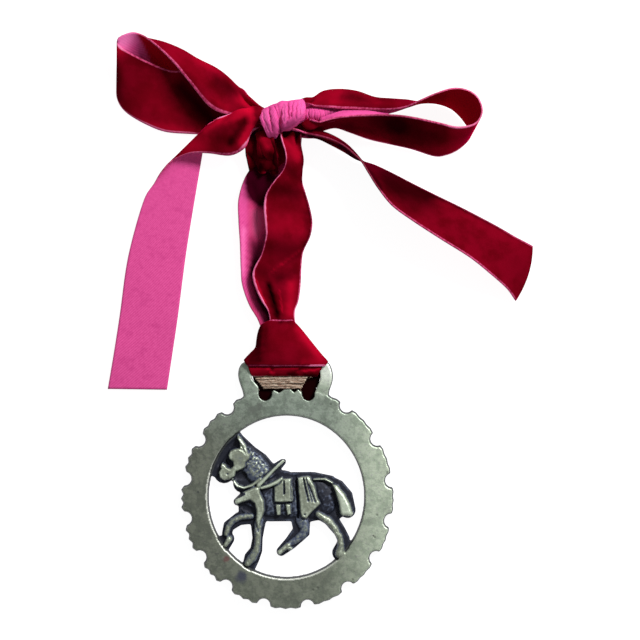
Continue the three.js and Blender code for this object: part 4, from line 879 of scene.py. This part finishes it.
def makeLumps():
    bm = bmesh.new()
    uv = bm.loops.layers.uv.new("weave")
    paintedLight = bm.verts.layers.float.new("paintedLight")
    around, rings = crumple["segments"]
    wide, fine = crumple["folds"]
    u, v = crumple["weave"]
    for at, half, angle, material, shade in lumps.values():
        place = Matrix.Translation(Vector(at) * mm) @ Matrix.Rotation(math.radians(angle), 4, "Z")
        place = place @ Matrix.Diagonal((*(side * mm for side in half), 1))
        made = bmesh.ops.create_uvsphere(bm, u_segments=around, v_segments=rings, radius=1)["verts"]
        for vert in made:
            x, y, z = vert.co
            turn = math.atan2(z, y)
            fold = math.sin(wide * x + 1.2 * math.sin(2 * turn)) + 0.5 * math.sin(fine * x + 2 * turn)
            vert.co *= 1 + crumple["depth"] * fold
            vert[paintedLight] = shade
        for face in {face for vert in made for face in vert.link_faces}:
            face.material_index = material
            for loop in face.loops:
                loop[uv].uv = (0.5 + u * loop.vert.co.x, v * loop.vert.co.y)
        bmesh.ops.transform(bm, matrix=place, verts=made)
    return pieceFrom(bm, "knot_core", ribbonFinishes, "velvet_ribbon")


core = makeLumps()
wrap = ribbonPiece("knot_wrap", knot)
print("knot tied")

# the twine; lengths in millimetres, ends is where the lowest strand ends and the step of each next one
twine = {
    "strands": 7, "low": 39, "pitch": 0.69, "ends": ((-8.4, -0.55), (5.4, 0.4)), "height": 2.15,
    "radius": 0.27, "ply": 0.17, "plies": 3, "twist": 0.35, "step": 0.5, "fibre": 0.07,
    "fibres": [((-10.6, 40.2, 2.4), (-10.2, 39, 2.6), (-9.6, 38, 2.8)),
               ((5, 39.4, 2.5), (5.2, 38, 3), (4.8, 37, 3.2)),
               ((8, 42.4, 2.5), (8.8, 43, 2.8), (9.5, 42.6, 2.8)),
               ((-3, 43, 2.5), (-2, 43.9, 3), (-0.9, 43.8, 3.2))],
    "hemp": ((0.08, 0.05, 0.035), (0.34, 0.235, 0.17)), "hempBright": (0.48, 0.40, 0.32),
    "hempRed": (0.16, 0.03, 0.03),
}


def tube(bm, route, radius, sides=6):
    # a ring carried along a route in millimetres
    route = [Vector(point) * mm for point in route]
    ring = bmesh.ops.create_circle(bm, segments=sides, radius=radius * mm, cap_ends=True)["verts"]
    side = Vector((0, 0, 1))
    start = (route[1] - route[0]).normalized()
    pose = Matrix((side.cross(start).normalized(), side, start)).transposed()
    bmesh.ops.transform(bm, matrix=Matrix.Translation(route[0]) @ pose.to_4x4(), verts=ring)
    edges = list({edge for vert in ring for edge in vert.link_edges})
    for here, there in zip(route, route[1:]):
        made = bmesh.ops.extrude_edge_only(bm, edges=edges)["geom"]
        verts = [item for item in made if isinstance(item, bmesh.types.BMVert)]
        edges = [item for item in made if isinstance(item, bmesh.types.BMEdge)
                 and item.verts[0] in verts and item.verts[1] in verts]
        bmesh.ops.translate(bm, verts=verts, vec=there - here)
    bmesh.ops.holes_fill(bm, edges=edges, sides=sides)


def twineRoute(k):
    left, right = (first + step * k for first, step in twine["ends"])
    level = twine["low"] + k * twine["pitch"]
    count = int((right - left) / twine["step"])
    for i in range(count + 1):
        share = i / count
        sag = 0.12 * math.sin(3.1 * share + k) + 0.06 * math.sin(9 * share + 2.3 * k)
        lift = 0.3 * (k % 2) + 0.2 * math.sin(2 * share + 1.7 * k)
        yield Vector((left + share * (right - left), level + sag, twine["height"] + lift))


def makeTwine(finish):
    bm = bmesh.new()
    for k in range(twine["strands"]):
        for ply in range(twine["plies"]):
            turn = 2 * math.pi * ply / twine["plies"] + k
            route = []
            for point in twineRoute(k):
                angle = turn + twine["twist"] * point.x
                route.append(point + twine["ply"] * Vector((0, math.cos(angle), math.sin(angle))))
            tube(bm, route, twine["radius"])
    for route in twine["fibres"]:
        tube(bm, route, twine["fibre"], sides=4)
    bmesh.ops.recalc_face_normals(bm, faces=bm.faces)
    return pieceFrom(bm, "twine_turns", [finish], "twine")


def dryTwine():
    finish = Finish("dry_twine", Roughness=0.9, Specular_IOR_Level=0.15)
    fibre = finish.noise(finish.place((1, 3, 3)), 900, 4)
    patch = finish.noise(finish.place(), 260, 2)
    tan = finish.coats(finish.mix(*twine["hemp"], fibre.step(0.3, 0.48)),
                       (twine["hempBright"], fibre.step(0.48, 0.64)),
                       (twine["hempRed"], patch.step(0.58, 0.78) * 0.25))
    finish.wire(Base_Color=tan, Normal=finish.bump(fibre, 0.5, 0.15 * mm))
    return finish


makeTwine(dryTwine())
print("twine wound")

# a pale floor just under the object, one soft key light from the upper right, an even sky
studio = {"floor": (0.26, 0.26, 0.27), "floorSize": 3.0, "floorDrop": 0.0004, "glow": 0.93, "world": 0.3,
          "keyPower": 10.5, "keySize": 0.24, "keyFrom": (0.42, 0.5, 0.6)}

bm = bmesh.new()
bmesh.ops.create_grid(bm, x_segments=1, y_segments=1, size=studio["floorSize"] / 2)
bmesh.ops.translate(bm, verts=bm.verts, vec=(*view["aim"], -studio["floorDrop"]))
paleFloor = Finish("pale_floor", Base_Color=(*studio["floor"], 1), Roughness=0.9, Specular_IOR_Level=0.1,
                   Emission_Color=(1, 1, 1, 1), Emission_Strength=studio["glow"])
floor = objectFrom(bm, "floor", [paleFloor])

keyData = bpy.data.lights.new("key", "AREA")
keyData.energy = studio["keyPower"]
keyData.size = studio["keySize"]
key = added("key", keyData)
aim = Vector((*view["aim"], 0))
key.location = aim + Vector(studio["keyFrom"])
key.rotation_euler = (aim - key.location).to_track_quat("-Z", "Y").to_euler()
world = bpy.data.worlds.new("studio")
world.use_nodes = True
sky = world.node_tree.nodes["Background"].inputs
sky["Color"].default_value = (1, 1, 1, 1)
sky["Strength"].default_value = studio["world"]
bpy.context.scene.world = world
print("studio lit")
